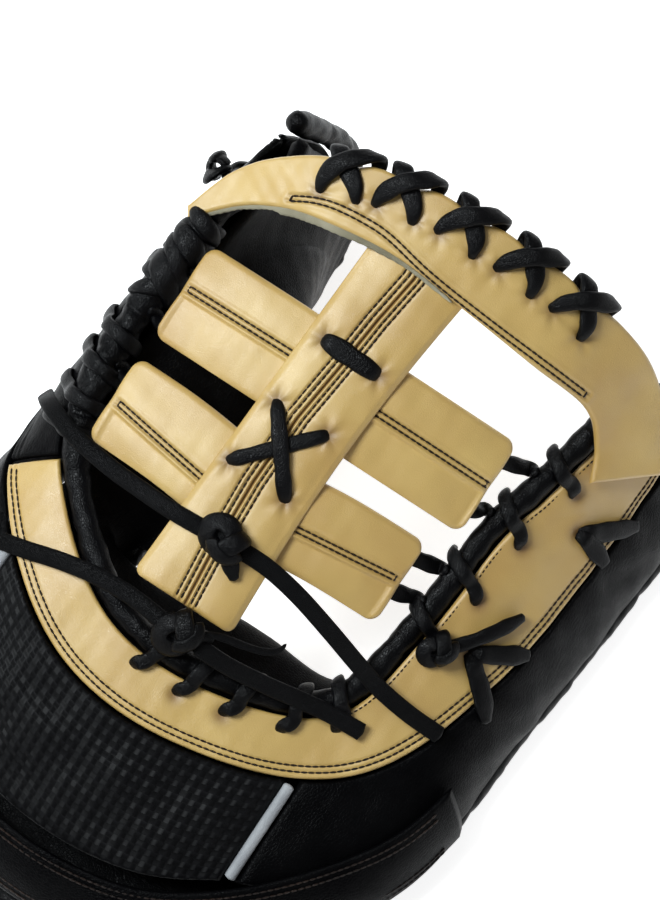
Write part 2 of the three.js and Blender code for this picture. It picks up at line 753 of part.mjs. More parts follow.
// Free laces. Their points are chosen by hand along the route of each lace.
const upperLace = [
  [-95.5, -41, -33], [-92, -42.5, -22], [-85, -45, -15.5], [-75, -47.5, -11.5],
  [-60, -49.5, -7.5], [-45, -50, -2.5], [-33, -50, 1.9], [-19.2, -49.2, 3.6],
];
const upperTail = [
  [-5.8, -48.4, 3.6], [6, -48.6, 3.1], [20, -51, 2.4], [36, -55.5, -2],
  [50, -60, -9], [62, -63.5, -14.6], [76, -65.5, -16.6], [90, -66, -18.6],
];
const lowerLace = [
  [-80, -93, -18.2], [-70, -90.5, -14.2], [-58, -87, -10.3], [-46, -84.4, -6],
  [-34, -83.2, -3], [-24, -83.4, 0], [-15.4, -84.2, 2.4],
];
const lowerTail = [
  [-0.6, -85, 2.4], [12, -85.2, 0.6], [26, -84, -4.2], [40, -82, -9.2],
  [52, -80.6, -13], [66, -80, -15.8],
];

// A lace's path, along which its flat sides keep facing out of the web
class LacePath extends THREE.CatmullRomCurve3 {
  computeFrenetFrames(segments) {
    const shares = Array.from({ length: segments + 1 }, (_, i) => i / segments);
    const tangents = shares.map((share) => this.getTangentAt(share));
    const binormals = tangents.map((along) => along.clone().cross(outOfWeb).normalize());
    const normals = tangents.map((along, i) => binormals[i].clone().cross(along).normalize());
    return { tangents, normals, binormals };
  }
}

function freeLace(name, route) {
  const path = new LacePath(route.map(([x, y, z]) => vec(x, y, z)));
  const outline = roundSection(laceThick, laceWidth, cordSides).map(([x, y]) => new THREE.Vector2(x, y));
  const steps = Math.round(path.getLength() / (1.2 * laceWidth));
  const geometry = new THREE.ExtrudeGeometry(new THREE.Shape(outline), { steps, extrudePath: path });
  addPiece(name, geometry, suede());
}

const freeLaceRoutes = { upper_lace: upperLace, upper_tail: upperTail, lower_lace: lowerLace, lower_tail: lowerTail };
const freeLaceNames = Object.keys(freeLaceRoutes);

palmShell();
backPanels();
piping('thumb_piping', thumbSeam);
piping('finger_piping', fingerSeam);
wristStrap();
webEdgeRoll();
outerEdgeRoll();
webPost();
webBar('web_bar_upper', upperBar);
webBar('web_bar_lower', lowerBar);
webRim();
edgeWraps();
barTies();
postLaces();
rimLaces();
thumbLaces();
knots();
freeLaceNames.forEach((name) => freeLace(name, freeLaceRoutes[name]));

mitt.setRotationFromMatrix(tip);
mitt.position.z = postHeight;
group.updateMatrixWorld(true);
const box = new THREE.Box3();
mitt.children.filter((mesh) => !freeLaceNames.includes(mesh.name)).forEach((mesh) => box.expandByObject(mesh, true));
mitt.position.x = -(box.min.x + box.max.x) / 2;
mitt.position.y = -(box.min.y + box.max.y) / 2;

export default group;
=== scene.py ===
import bpy
import numpy as np
from mathutils import Matrix


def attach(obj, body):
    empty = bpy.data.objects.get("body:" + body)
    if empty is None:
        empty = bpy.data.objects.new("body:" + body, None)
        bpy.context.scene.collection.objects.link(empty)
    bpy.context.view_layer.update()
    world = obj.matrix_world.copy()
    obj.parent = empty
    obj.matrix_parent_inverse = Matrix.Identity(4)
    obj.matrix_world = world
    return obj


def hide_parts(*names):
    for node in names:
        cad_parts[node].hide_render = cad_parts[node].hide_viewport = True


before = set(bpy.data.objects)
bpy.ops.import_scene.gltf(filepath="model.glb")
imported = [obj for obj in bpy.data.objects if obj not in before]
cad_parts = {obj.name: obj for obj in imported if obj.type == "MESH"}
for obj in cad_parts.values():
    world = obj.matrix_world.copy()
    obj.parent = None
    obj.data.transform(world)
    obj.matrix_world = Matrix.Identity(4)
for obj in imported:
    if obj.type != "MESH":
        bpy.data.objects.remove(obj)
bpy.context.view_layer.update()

# The palm: one thick padded shell of black steerhide that makes the pocket.
# It is wet-formed over a block, so it has no flat places, and it hangs under the back from roll to roll.
# Sizes are in mm in the web's frame: x to the thumb, y up the post to the rim and z out of the web.
OPENING_HALF_WIDTH = 80.0
OPENING_HALF_LENGTH = 92.0
HEEL_REACH = 203.0
HAND_HALF_WIDTH = 100.0
POST_HEIGHT = 100.0
ARCH_DROP = 18.0
POST_CENTRE = -9.0
RISE = np.radians(17.0)
BANK = np.radians(11.0)
WEB_LEATHER = 3.2
GAP = 0.4
PANEL_GAP = 0.9
WEB_ROLL = 9.0
OUTER_ROLL = 9.0
PALM_LEATHER = 7.0
PALM_EDGE = 3.5
PALM_RUN = 150.0
HEEL_PADDING = 8.0
HAND_ROOM = 36.0
# The web's centre as the frame has it, over the middle of the mitt's footprint
MITT_PLACE = np.array([2.376553, 34.078588, POST_HEIGHT])

# The opening's edge x, y, the outer edge x, y and its lift, from the thumb tip past the crotch to the fingers
EDGE_ROWS = np.array([
    [1.00, 0.72, 1.03, 0.430, 0.93], [0.97, 0.62, 1.15, 0.430, 0.50],
    [0.94, 0.50, 1.24, 0.350, 0.12], [0.88, 0.28, 1.26, 0.200, 0.00],
    [0.81, 0.05, 1.23, 0.040, 0.00], [0.76, -0.42, 1.16, -0.240, 0.00],
    [0.62, -0.84, 1.02, -0.640, 0.00], [0.10, -1.00, 0.44, -0.955, 0.00],
    [-0.38, -0.97, -0.42, -0.950, 0.00], [-0.80, -0.70, -0.93, -0.620, 0.00],
    [-1.00, -0.42, -0.74, -0.240, 0.00], [-1.04, -0.04, -0.45, 0.020, 0.00],
    [-1.01, 0.30, -0.39, 0.245, 0.00], [-0.99, 0.52, -0.42, 0.385, 0.12],
    [-0.96, 0.65, -0.56, 0.470, 0.50], [-0.92, 0.74, -0.78, 0.440, 0.93],
])
# How far the back heads outward and down, how it arrives at the outer edge, and the palm's room and lip
FORM_ROWS = np.array([
    [0.03, 0.02, 0.00, 0.04, 0.05, 0.00], [0.07, 0.03, 0.02, 0.12, 0.10, 0.00],
    [0.11, 0.04, 0.03, 0.22, 0.18, 0.00], [0.15, 0.04, 0.04, 0.30, 0.26, 0.00],
    [0.18, 0.04, 0.05, 0.32, 0.34, 0.00], [0.24, 0.02, 0.05, 0.30, 0.55, 0.02],
    [0.42, 0.00, 0.02, 0.26, 0.85, 0.30], [0.72, 0.00, 0.00, 0.24, 1.00, 0.55],
    [0.72, 0.00, 0.00, 0.26, 1.00, 0.42], [0.34, 0.04, 0.04, 0.40, 0.80, 0.12],
    [0.18, 0.14, 0.12, 0.48, 0.50, 0.00], [0.14, 0.20, 0.22, 0.52, 0.36, 0.00],
    [0.12, 0.20, 0.22, 0.50, 0.26, 0.00], [0.10, 0.14, 0.14, 0.36, 0.18, 0.00],
    [0.07, 0.07, 0.05, 0.14, 0.10, 0.00], [0.03, 0.02, 0.00, 0.04, 0.05, 0.00],
])

WEB_AXES = np.array([
    [np.cos(BANK), np.sin(RISE) * np.sin(BANK), -np.cos(RISE) * np.sin(BANK)],
    [0.0, np.cos(RISE), np.sin(RISE)],
    [np.sin(BANK), -np.sin(RISE) * np.cos(BANK), np.cos(RISE) * np.cos(BANK)],
])
OUT_OF_WEB = np.array([0.0, 0.0, 1.0])
UPWARD = WEB_AXES[:, 2]


def placed(points):
    """Points of the web's frame in mm, as p = x·q + y·p + z·n + place, in the row's frame in metres."""
    return (np.asarray(points, float) @ WEB_AXES + MITT_PLACE) / 1000.0


def unit(v):
    """v over its length, along the last axis."""
    return v / np.maximum(np.linalg.norm(v, axis=-1, keepdims=True), 1e-9)


def hump(x, width):
    """A smooth hump that is 1 where x is 0: exp(-(x / width)²)."""
    return np.exp(-(x / width) ** 2)


def smoothstep(x, low, high):
    """3t² - 2t³ for t = (x - low) / (high - low), held between 0 and 1."""
    t = np.clip((x - low) / (high - low), 0.0, 1.0)
    return t * t * (3 - 2 * t)


def through(rows, share):
    """Catmull-Rom curve through even rows: p1 + t/2·(p2-p0 + t·(2p0-5p1+4p2-p3 + t·(3p1-3p2+p3-p0)))."""
    rows = np.asarray(rows, float)
    ends = np.vstack([2 * rows[0] - rows[1], rows, 2 * rows[-1] - rows[-2]])
    at = np.clip(share, 0.0, 1.0) * (len(rows) - 1)
    first = np.minimum(at.astype(int), len(rows) - 2)
    t = (at - first)[..., None]
    p0, p1, p2, p3 = (ends[first + k] for k in range(4))
    return p1 + 0.5 * t * (p2 - p0 + t * (2 * p0 - 5 * p1 + 4 * p2 - p3 + t * (3 * (p1 - p2) + p3 - p0)))


def reach_along(points, axis=0):
    """The length run so far along a row of points, 0 at its first."""
    steps = np.linalg.norm(np.diff(points, axis=axis), axis=-1)
    start = np.zeros_like(np.take(steps, [0], axis=axis))
    return np.concatenate([start, np.cumsum(steps, axis=axis)], axis=axis)


def arch(x):
    """Height of the web's arch: -drop·((x - centre) / half width)²."""
    return -ARCH_DROP * ((x - POST_CENTRE) / OPENING_HALF_WIDTH) ** 2


def opening_edge(share):
    """The middle of the web's edge roll: a plan curve, under the arch by its leather and half a roll."""
    plan = through(EDGE_ROWS[:, :2] * [OPENING_HALF_WIDTH, OPENING_HALF_LENGTH], share)
    height = arch(plan[..., 0]) - 1.5 * WEB_LEATHER - 2 * GAP - WEB_ROLL / 2
    return np.concatenate([plan, height[..., None]], axis=-1)


def outer_edge(share):
    """The middle of the outer roll: its radius above the floor, raised by lift to the web's edge at the tips."""
    row = through(EDGE_ROWS[:, 2:] * [HAND_HALF_WIDTH, HEEL_REACH, 1.0], share)
    floor = -(POST_HEIGHT + UPWARD[0] * row[..., 0] + UPWARD[1] * row[..., 1]) / UPWARD[2]
    low = floor + OUTER_ROLL / 2 / UPWARD[2]
    lift = np.maximum(row[..., 2], 0.0)
    height = low + lift * (opening_edge(share)[..., 2] - low)
    return np.stack([row[..., 0], row[..., 1], height], axis=-1)


def outward(share):
    """The direction square to the opening's edge in plan, away from the web."""
    ahead = opening_edge(np.minimum(share + 1e-4, 1.0)) - opening_edge(np.maximum(share - 1e-4, 0.0))
    return unit(np.stack([-ahead[..., 1], ahead[..., 0], np.zeros_like(ahead[..., 0])], axis=-1))


# The back is a Bezier curve from edge to edge at each share of the way round, run evenly along its length
ROUND = np.linspace(0.0, 1.0, 961)
ALONG = np.linspace(0.0, 1.0, 241)


def bezier(t, a, b, c, d):
    """(1-t)³a + 3(1-t)²t·b + 3(1-t)t²·c + t³d."""
    return (1 - t) ** 3 * a + 3 * (1 - t) ** 2 * t * b + 3 * (1 - t) * t ** 2 * c + t ** 3 * d


def back_tables():
    """The back's points over (share, run) and each curve's length."""
    leave = through(FORM_ROWS[:, :2] * POST_HEIGHT * [1, -1], ROUND)
    arrive = through(FORM_ROWS[:, 2:4] * POST_HEIGHT, ROUND)
    start, end, away = opening_edge(ROUND), outer_edge(ROUND), outward(ROUND)
    lift = np.clip(1.5 * through(EDGE_ROWS[:, 4:5], ROUND), 0.0, 1.0)
    arrival = unit(UPWARD + (unit(start - end) - UPWARD) * lift)
    near = start + away * leave[:, :1] + OUT_OF_WEB * leave[:, 1:]
    far = end + arrival * arrive[:, 1:] + away * arrive[:, :1]
    corners = [point[:, None, :] for point in (start, near, far, end)]
    t = np.linspace(0.0, 1.0, 201)
    reach = reach_along(bezier(t[None, :, None], *corners), axis=1)
    lengths = reach[:, -1]
    even = np.stack([np.interp(ALONG * lengths[i], reach[i], t) for i in range(len(ROUND))])
    return bezier(even[..., None], *corners), lengths


BACK_TABLE, BACK_LENGTHS = back_tables()
NORMAL_TABLE = unit(np.cross(np.gradient(BACK_TABLE, axis=0), np.gradient(BACK_TABLE, axis=1)))


def from_table(table, share, run):
    """Bilinear reading of a table over (share, run)."""
    u = np.clip(share, 0.0, 1.0) * (len(ROUND) - 1)
    v = np.clip(run, 0.0, 1.0) * (len(ALONG) - 1)
    i = np.minimum(u.astype(int), len(ROUND) - 2)
    j = np.minimum(v.astype(int), len(ALONG) - 2)
    a, b = (u - i)[..., None], (v - j)[..., None]
    low = table[i, j] * (1 - a) + table[i + 1, j] * a
    high = table[i, j + 1] * (1 - a) + table[i + 1, j + 1] * a
    return low * (1 - b) + high * b


def back_normal(share, run):
    """The back's normal."""
    share, run = np.broadcast_arrays(np.asarray(share, float), np.asarray(run, float))
    return unit(from_table(NORMAL_TABLE, share, run))


def on_back(share, run, height):
    """A point of the back's surface raised along its normal by a height in mm."""
    share, run = np.broadcast_arrays(np.asarray(share, float), np.asarray(run, float))
    return from_table(BACK_TABLE, share, run) + back_normal(share, run) * np.asarray(height)[..., None]


def run_at(share, distance):
    """The share of a curve's length that a distance in mm from the opening is."""
    return distance / np.interp(share, ROUND, BACK_LENGTHS)


def start_of(share):
    """Where a panel starts, beside the web's roll."""
    return run_at(share, WEB_ROLL / 2 + PANEL_GAP)


def end_of(share):
    """Where a panel ends, beside the outer roll, as far as the roll's slant asks."""
    along = unit(outer_edge(np.minimum(share + 0.005, 1.0)) - outer_edge(np.maximum(share - 0.005, 0.0)))
    ends = np.ones_like(share)
    last = unit(from_table(BACK_TABLE, share, ends) - from_table(BACK_TABLE, share, ends - 0.004))
    slant = np.linalg.norm(np.cross(last, along), axis=-1)
    return 1 - run_at(share, (OUTER_ROLL / 2 + PANEL_GAP) / slant)


def palm_middle(share, run):
    """The palm's middle: under the back by gap, half its leather and room·sin(pi·d), and lipped under the web."""
    first = start_of(share)
    down = np.clip((run - first) / (1 - first), 0.0, 1.0)
    hollow = through(FORM_ROWS[:, 4:] * [HAND_ROOM, OPENING_HALF_LENGTH], share)
    depth = hollow[..., 0] * np.sin(np.pi * down) ** (0.6 + 0.5 * down)
    swell = hollow[..., 1] * np.clip(np.sin(np.pi * down ** 0.6), 0, 1) ** 1.5
    points = on_back(share, run, -GAP - PALM_LEATHER / 2 - (WEB_ROLL / 2) * (1 - down) - depth)
    points[..., 1] += swell
    return points


def bunched(count, length, radius):
    """Shares 0 to 1 along a side: even inside, and over the last radius at each end as 1 - cos."""
    turn = radius / length * (1 - np.cos(np.linspace(0, np.pi / 2, 6)))
    inside = np.linspace(radius / length, 1 - radius / length, count)[1:-1]
    return np.concatenate([turn, inside, 1 - turn[::-1]])


def waves(points, seed, size, height):
    """The leather's soft unevenness: the mean of seven plane waves of random direction, near size in mm."""
    rng = np.random.default_rng(seed)
    ways = unit(rng.normal(size=(7, 3))) * 2 * np.pi / (size * rng.uniform(0.7, 1.5, (7, 1)))
    return height * np.sin(points @ ways.T + rng.uniform(0, 2 * np.pi, 7)).mean(axis=-1) * 2.2


def quads(grid):
    """The four-cornered faces between the neighbours of a grid of vertex numbers."""
    return np.stack([grid[:-1, :-1], grid[1:, :-1], grid[1:, 1:], grid[:-1, 1:]], axis=-1).reshape(-1, 4)


def slab(points, half, relief=0.0, under=0.0, edge=None):
    """A sheet with round edges: p ± n·half·sqrt(1 - (1 - d/r)²), d being the distance to its border.

    r is the edge's radius. relief is added to the outer face and under to the inner one, fading to the edge.
    """
    m, n = points.shape[:2]
    normal = unit(np.cross(np.gradient(points, axis=0), np.gradient(points, axis=1)))
    rows = reach_along(points, axis=0)
    cols = reach_along(points, axis=1)
    border = np.minimum(np.minimum(rows, rows[-1:] - rows), np.minimum(cols, cols[:, -1:] - cols))
    radius = half if edge is None else edge
    swell = np.sqrt(np.clip(1 - (1 - np.clip(border / radius, 0, 1)) ** 2, 0, 1))
    top = points + normal * ((half + relief) * swell)[..., None]
    bottom = points - normal * ((half + under) * swell)[..., None]
    index = np.arange(m * n).reshape(m, n)
    inner = np.full((m, n), -1)
    inner[1:-1, 1:-1] = m * n + np.arange((m - 2) * (n - 2)).reshape(m - 2, n - 2)
    below = np.where(inner < 0, index, inner)
    faces = np.concatenate([quads(index), quads(below)[:, ::-1]])
    verts = np.concatenate([top.reshape(-1, 3), bottom[1:-1, 1:-1].reshape(-1, 3)])
    flat = np.stack([rows, cols], axis=-1)
    return verts, faces, np.concatenate([flat.reshape(-1, 2), flat[1:-1, 1:-1].reshape(-1, 2)])


def linear(code):
    """An sRGB hex colour as linear red, green, blue and alpha."""
    parts = np.array([int(code[k:k + 2], 16) for k in (1, 3, 5)]) / 255.0
    return (*np.where(parts <= 0.04045, parts / 12.92, ((parts + 0.055) / 1.055) ** 2.4), 1.0)


def add(tree, kind, links=(), **settings):
    """Adds a node, sets its sockets or properties by name, and links (its socket, from a node, an output)."""
    made = tree.nodes.new(kind)
    for name, value in settings.items():
        if hasattr(made, name):
            setattr(made, name, value)
        else:
            made.inputs[name.replace("_", " ")].default_value = value
    for socket, source, output in links:
        tree.links.new(source.outputs[output], made.inputs[socket])
    return made


def grained(name, dark, light, rough, pore, bump, crease=0.0, coat=0.0, patch=0.03, gloss=0.5, has_painted_shade=False):
    """A leather: two close colours in soft patches, a grain of cells pore mm wide in the bump, fine lines.

    pore is in mm and patch in metres, both real sizes, so each pattern's scale is 1 over the size in metres.
    With painted shade on, the colour is multiplied towards a darker brown where the mesh's painted shade
    attribute is high, which paints shade in grooves and round holes.
    """
    material = bpy.data.materials.new(name)
    material.use_nodes = True
    tree = material.node_tree
    shader = tree.nodes["Principled BSDF"]
    where = add(tree, "ShaderNodeTexCoord")
    blotch = add(tree, "ShaderNodeTexNoise", [("Vector", where, "Object")],
                 Scale=1 / patch, Detail=3.0, Roughness=0.55)
    colour = add(tree, "ShaderNodeValToRGB", [("Fac", blotch, "Fac")])
    for stop, (position, code) in zip(colour.color_ramp.elements, ((0.34, dark), (0.66, light))):
        stop.position = position
        stop.color = linear(code)
    cells = add(tree, "ShaderNodeTexVoronoi", [("Vector", where, "Object")],
                Scale=1000 / pore, feature="DISTANCE_TO_EDGE")
    pits = add(tree, "ShaderNodeMapRange", [("Value", cells, "Distance")], From_Max=0.16)
    folds = add(tree, "ShaderNodeTexNoise", [("Vector", where, "Object")],
                Scale=140.0, Detail=6.0, Roughness=0.62, Distortion=0.9)
    relief = add(tree, "ShaderNodeMath", [(0, folds, "Fac"), (2, pits, "Result")], operation="MULTIPLY_ADD")
    relief.inputs[1].default_value = 0.6 + crease
    bumped = add(tree, "ShaderNodeBump", [("Height", relief, "Value")], Strength=bump, Distance=0.00035)
    dry = add(tree, "ShaderNodeMapRange", [("Value", folds, "Fac")],
              From_Min=0.3, From_Max=0.7, To_Min=rough - 0.06, To_Max=rough + 0.08)
    source, output = colour, "Color"
    # Painted shade: the base colour is multiplied towards #8A6A48 by the painted shade attribute, darker in
    # grooves, seams and round holes.
    if has_painted_shade:
        painted_shade = add(tree, "ShaderNodeAttribute", attribute_name="painted_shade")
        source = add(tree, "ShaderNodeMix", [("Factor", painted_shade, "Fac"), (6, colour, "Color")],
                     data_type="RGBA", blend_type="MULTIPLY")
        source.inputs[7].default_value = linear("#8A6A48")
        output = 2
    tree.links.new(source.outputs[output], shader.inputs["Base Color"])
    tree.links.new(dry.outputs["Result"], shader.inputs["Roughness"])
    tree.links.new(bumped.outputs["Normal"], shader.inputs["Normal"])
    shader.inputs["IOR"].default_value = 1.48
    shader.inputs["Specular IOR Level"].default_value = gloss
    shader.inputs["Coat Weight"].default_value = coat
    shader.inputs["Coat Roughness"].default_value = 0.48
    return material


def piece(name, parts, material, replaces=(), painted_shade=None):
    """Joins parts of (points in mm, faces, lie) into one smooth mesh in its place, fixed to the root."""
    offset, verts, faces, lies = 0, [], [], []
    for points, corners, lie in parts:
        verts.append(points)
        lies.append(lie)
        faces += [tuple(int(i) + offset for i in face) for face in corners]
        offset += len(points)
    verts, lies = np.concatenate(verts), np.concatenate(lies)
    mesh = bpy.data.meshes.new(name)
    mesh.from_pydata(placed(verts).tolist(), [], faces)
    mesh.polygons.foreach_set("use_smooth", np.ones(len(mesh.polygons), bool))
    corner = np.empty(len(mesh.loops), int)
    mesh.loops.foreach_get("vertex_index", corner)
    mesh.uv_layers.new(name="lie").data.foreach_set("uv", (lies[corner] / 1000.0).ravel())
    # The painted shade of each vertex, which the blonde leather multiplies into its colour as darker brown shade.
    painted_shade_layer = mesh.attributes.new("painted_shade", "FLOAT", "POINT")
    painted_shade_layer.data.foreach_set("value", np.zeros(len(verts)) if painted_shade is None else np.clip(painted_shade, 0, 1))
    mesh.materials.append(material)
    mesh.update()
    made = bpy.data.objects.new(name, mesh)
    bpy.context.collection.objects.link(made)
    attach(made, "root")
    if replaces:
        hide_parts(*replaces)
    return made


# Black steerhide: drum-dyed, waxed full-grain leather. It is near black, with a soft gloss and fine creases.
black_steerhide = grained("black_steerhide", "#020203", "#070708", rough=0.36, pore=1.0, bump=0.34,
                          crease=0.9, gloss=0.05)

palm_share = np.linspace(0.01, 0.99, 241)[:, None]
palm_step = bunched(60, PALM_RUN, PALM_EDGE)[None, :]
palm_start = start_of(palm_share)
palm_end = end_of(palm_share) + run_at(palm_share, PANEL_GAP + GAP)
palm_share, palm_run = np.broadcast_arrays(palm_share, palm_start + (palm_end - palm_start) * palm_step)
palm_points = palm_middle(palm_share, palm_run)

# The palm's padding bulges into the pocket below the finger side of the web: a hump of share and depth
BULGE_SHARE = 0.665
BULGE_BEFORE = 0.075
BULGE_AFTER = 0.10
BULGE_REACH = 52.0
BULGE_WAY = np.array([0.9, 0.43, 0.0])
palm_down = np.clip((palm_run - palm_start) / (1 - palm_start), 0.0, 1.0)
bulge_span = np.where(palm_share < BULGE_SHARE, BULGE_BEFORE, BULGE_AFTER)
bulge_down = np.clip(np.sin(np.pi * palm_down ** 0.75), 0, 1) ** 1.5
bulge = BULGE_REACH * hump(palm_share - BULGE_SHARE, bulge_span) * bulge_down
palm_points = palm_points + bulge[..., None] * BULGE_WAY
palm_thick = PALM_LEATHER + HEEL_PADDING * 4 * hump(palm_share - 0.5, 0.16) * palm_run ** 3 * (1 - palm_run)
palm_folds = waves(palm_points, 3, 26.0, 0.7) + waves(palm_points, 4, 9.0, 0.22)
piece("palm", [slab(palm_points, palm_thick / 2 - 0.2, palm_folds, palm_folds * 0.7, edge=PALM_EDGE)],
      black_steerhide, ["palm_shell"])

# The back panels: a soft blonde steerhide collar is sewn round the web's opening, and black steerhide covers
# the thumb and finger halves. A woven nylon mesh lies between them over the hand, as it breathes.
LEATHER = 2.6
PANEL_MIDDLE = GAP + LEATHER / 2
PANEL_TOP = GAP + LEATHER
PANEL_RUN = 60.0
COLLAR_CROTCH = 27.0
COLLAR_SIDE = 44.0
COLLAR_ROW = 2.4
TWIN = 2.2
INNER_ROW = 1.4
BLONDE_END = 0.628
PANEL_ENDS = (0.02, 0.98)
HAND_BACK_END = 0.64
WRIST_CENTRE = 0.5
WRIST_HALF = 0.055
PIPING_WIDTH = 3.0
SEAM_GAP = 1.4
COLLAR_STRETCH = 0.35
MESH_CELL = 2.2


def wrist_edge(share):
    """Where the back ends: at the wrist opening in the middle, and beside the outer roll at the sides."""
    open_to = smoothstep(np.abs(share - WRIST_CENTRE), WRIST_HALF, WRIST_HALF + 0.06)
    return HAND_BACK_END + (end_of(share) - HAND_BACK_END) * open_to


def collar_end(share):
    """Where the collar ends: its width at the crotch, widened to the thumb side."""
    width = COLLAR_CROTCH + (COLLAR_SIDE - COLLAR_CROTCH) * smoothstep(-share, -0.42, -0.26)
    return np.minimum(run_at(share, width), 0.62)


def thumb_seam(run):
    """The seam between the thumb half and the hand's back."""
    return 0.40 + 0.06 * run


def finger_seam(run):
    """The seam between the hand's back and the finger half."""
    return 0.61 - 0.095 * run


def seam_half(run, share):
    """Half the room that a seam's piping takes, as a share of the way round."""
    span = np.linalg.norm(on_back(share + 0.005, run, 0.0) - on_back(share - 0.005, run, 0.0), axis=-1)
    return (PIPING_WIDTH / 2 + SEAM_GAP) / (span * 100)


def beside(seam, side):
    """A panel's edge along a seam, on a side of the piping: -1 to the thumb and 1 to the fingers."""
    return lambda run: seam(run) + side * seam_half(run, seam(run))


def flat_share(value):
    """A panel's edge at one share."""
    return lambda run: value + run * 0


def past_collar(share):
    """A panel starts a gap past the collar's edge."""
    return collar_end(share) + run_at(share, PANEL_GAP)


def panel(start, end, first, last, across, along, relief):
    """A panel of the back: share from first(run) to last(run), and run from start(share) to end(share)."""
    t = np.linspace(0, 1, across)[:, None]
    step = bunched(along, PANEL_RUN, LEATHER / 2)[None, :]
    share = first(step * 0) + (last(step * 0) - first(step * 0)) * t
    for _ in range(4):
        run = start(share) + (end(share) - start(share)) * step
        share = first(run) + (last(run) - first(run)) * t
    points = on_back(share, run, PANEL_MIDDLE)
    return slab(points, LEATHER / 2, relief(points, share, run))


def stretch(points, size):
    """The soft unevenness that lasting leaves in leather, size mm high."""
    return waves(points, 11, 23.0, size) + waves(points, 12, 8.0, size / 3)


def near_holes(points, holes, reach):
    """A hump round the nearest hole, 1 at its middle: exp(-(r / reach)²) of the distance r to it."""
    return hump(np.linalg.norm(points[..., None, :] - holes, axis=-1).min(-1), reach)


def stitches(line, up, pitch=2.6, length=2.62, width=0.8, height=0.4):
    """A row of lock stitches: each an egg, along·cos(a)·l/2 + side·sin(a)·cos(b)·w/2 + up·sin(a)·sin(b)·h."""
    reach = reach_along(line)
    at = np.arange(pitch / 2, reach[-1], pitch)
    centre = np.stack([np.interp(at, reach, line[:, k]) for k in range(3)], axis=-1)
    ahead = unit(np.stack([np.interp(at, reach, np.gradient(line[:, k], reach)) for k in range(3)], axis=-1))
    rise = np.stack([np.interp(at, reach, np.broadcast_to(up, line.shape)[:, k]) for k in range(3)], axis=-1)
    side = unit(np.cross(ahead, rise))
    rise = np.cross(side, ahead)
    a = np.array([0.12, 0.3, 0.5, 0.7, 0.88])[:, None] * np.pi
    b = np.linspace(0, 2 * np.pi, 8, endpoint=False)[None, :]
    egg = (np.cos(a) * length / 2 + 0 * b, np.sin(a) * np.cos(b) * width / 2, np.sin(a) * np.sin(b) * height)
    verts = centre[:, None, :]
    for size, way in zip(egg, (ahead, side, rise)):
        verts = verts + size.reshape(1, -1, 1) * way[:, None, :]
    i, j = np.meshgrid(np.arange(4), np.arange(8), indexing="ij")
    k = (j + 1) % 8
    ring = np.stack([i * 8 + j, i * 8 + k, (i + 1) * 8 + k, (i + 1) * 8 + j], axis=-1).reshape(-1, 4)
    base = np.arange(len(at)) * 40
    faces = (ring[None] + base[:, None, None]).reshape(-1, 4).tolist()
    faces += (np.arange(8)[None, ::-1] + base[:, None]).tolist()
    faces += (np.arange(32, 40)[None, :] + base[:, None]).tolist()
    return verts.reshape(-1, 3), faces, np.zeros((len(at) * 40, 2))


# Blonde steerhide: vegetable-retanned full-grain leather, dyed through, with a fine pebble and a waxed face.
# The wax is a coat that veils the side towards the light in white. Painted shade makes it browner round its
# holes, along its seams and in its stitch grooves.
blonde_steerhide = grained("blonde_steerhide", "#B7924B", "#CAA95F", rough=0.46, pore=0.62, bump=0.26,
                           crease=0.5, coat=0.8, patch=0.05, gloss=0.8, has_painted_shade=True)
# Waxed nylon thread: twisted, dark brown, and slightly glossy.
waxed_thread = grained("waxed_nylon_thread", "#150C07", "#26160C", rough=0.45, pore=0.35, bump=0.5, gloss=0.3)
# Woven nylon mesh: a basket weave of flat black yarn, with a dull sheen. A wave texture of scale 1 repeats
# every 0.31416, so at half that scale each wave is two cells long.
woven_nylon = bpy.data.materials.new("woven_nylon_mesh")
woven_nylon.use_nodes = True
weave = woven_nylon.node_tree
weave_uv = add(weave, "ShaderNodeUVMap", uv_map="lie")
weave_scaled = add(weave, "ShaderNodeMapping", [("Vector", weave_uv, "UV")],
                   Scale=(1000 / MESH_CELL, 1000 / MESH_CELL, 1.0))
weave_warp, weave_weft = (add(weave, "ShaderNodeTexWave", [("Vector", weave_scaled, "Vector")],
                              Scale=0.31416 / 2, Distortion=0.3, bands_direction=way) for way in "XY")
weave_check = add(weave, "ShaderNodeTexChecker", [("Vector", weave_scaled, "Vector")], Scale=1.0)
weave_over = add(weave, "ShaderNodeMix", [("Factor", weave_check, "Fac"), (2, weave_warp, "Fac"),
                                          (3, weave_weft, "Fac")])
weave_tone = add(weave, "ShaderNodeValToRGB", [("Fac", weave_over, 0)])
weave_tone.color_ramp.elements[0].color = linear("#020203")
weave_tone.color_ramp.elements[1].color = linear("#0B0B0D")
weave_bump = add(weave, "ShaderNodeBump", [("Height", weave_over, 0)], Strength=0.7, Distance=0.0006)
weave_shader = weave.nodes["Principled BSDF"]
weave.links.new(weave_tone.outputs["Color"], weave_shader.inputs["Base Color"])
weave.links.new(weave_bump.outputs["Normal"], weave_shader.inputs["Normal"])
weave_shader.inputs["Roughness"].default_value = 0.5
weave_shader.inputs["Specular IOR Level"].default_value = 0.12

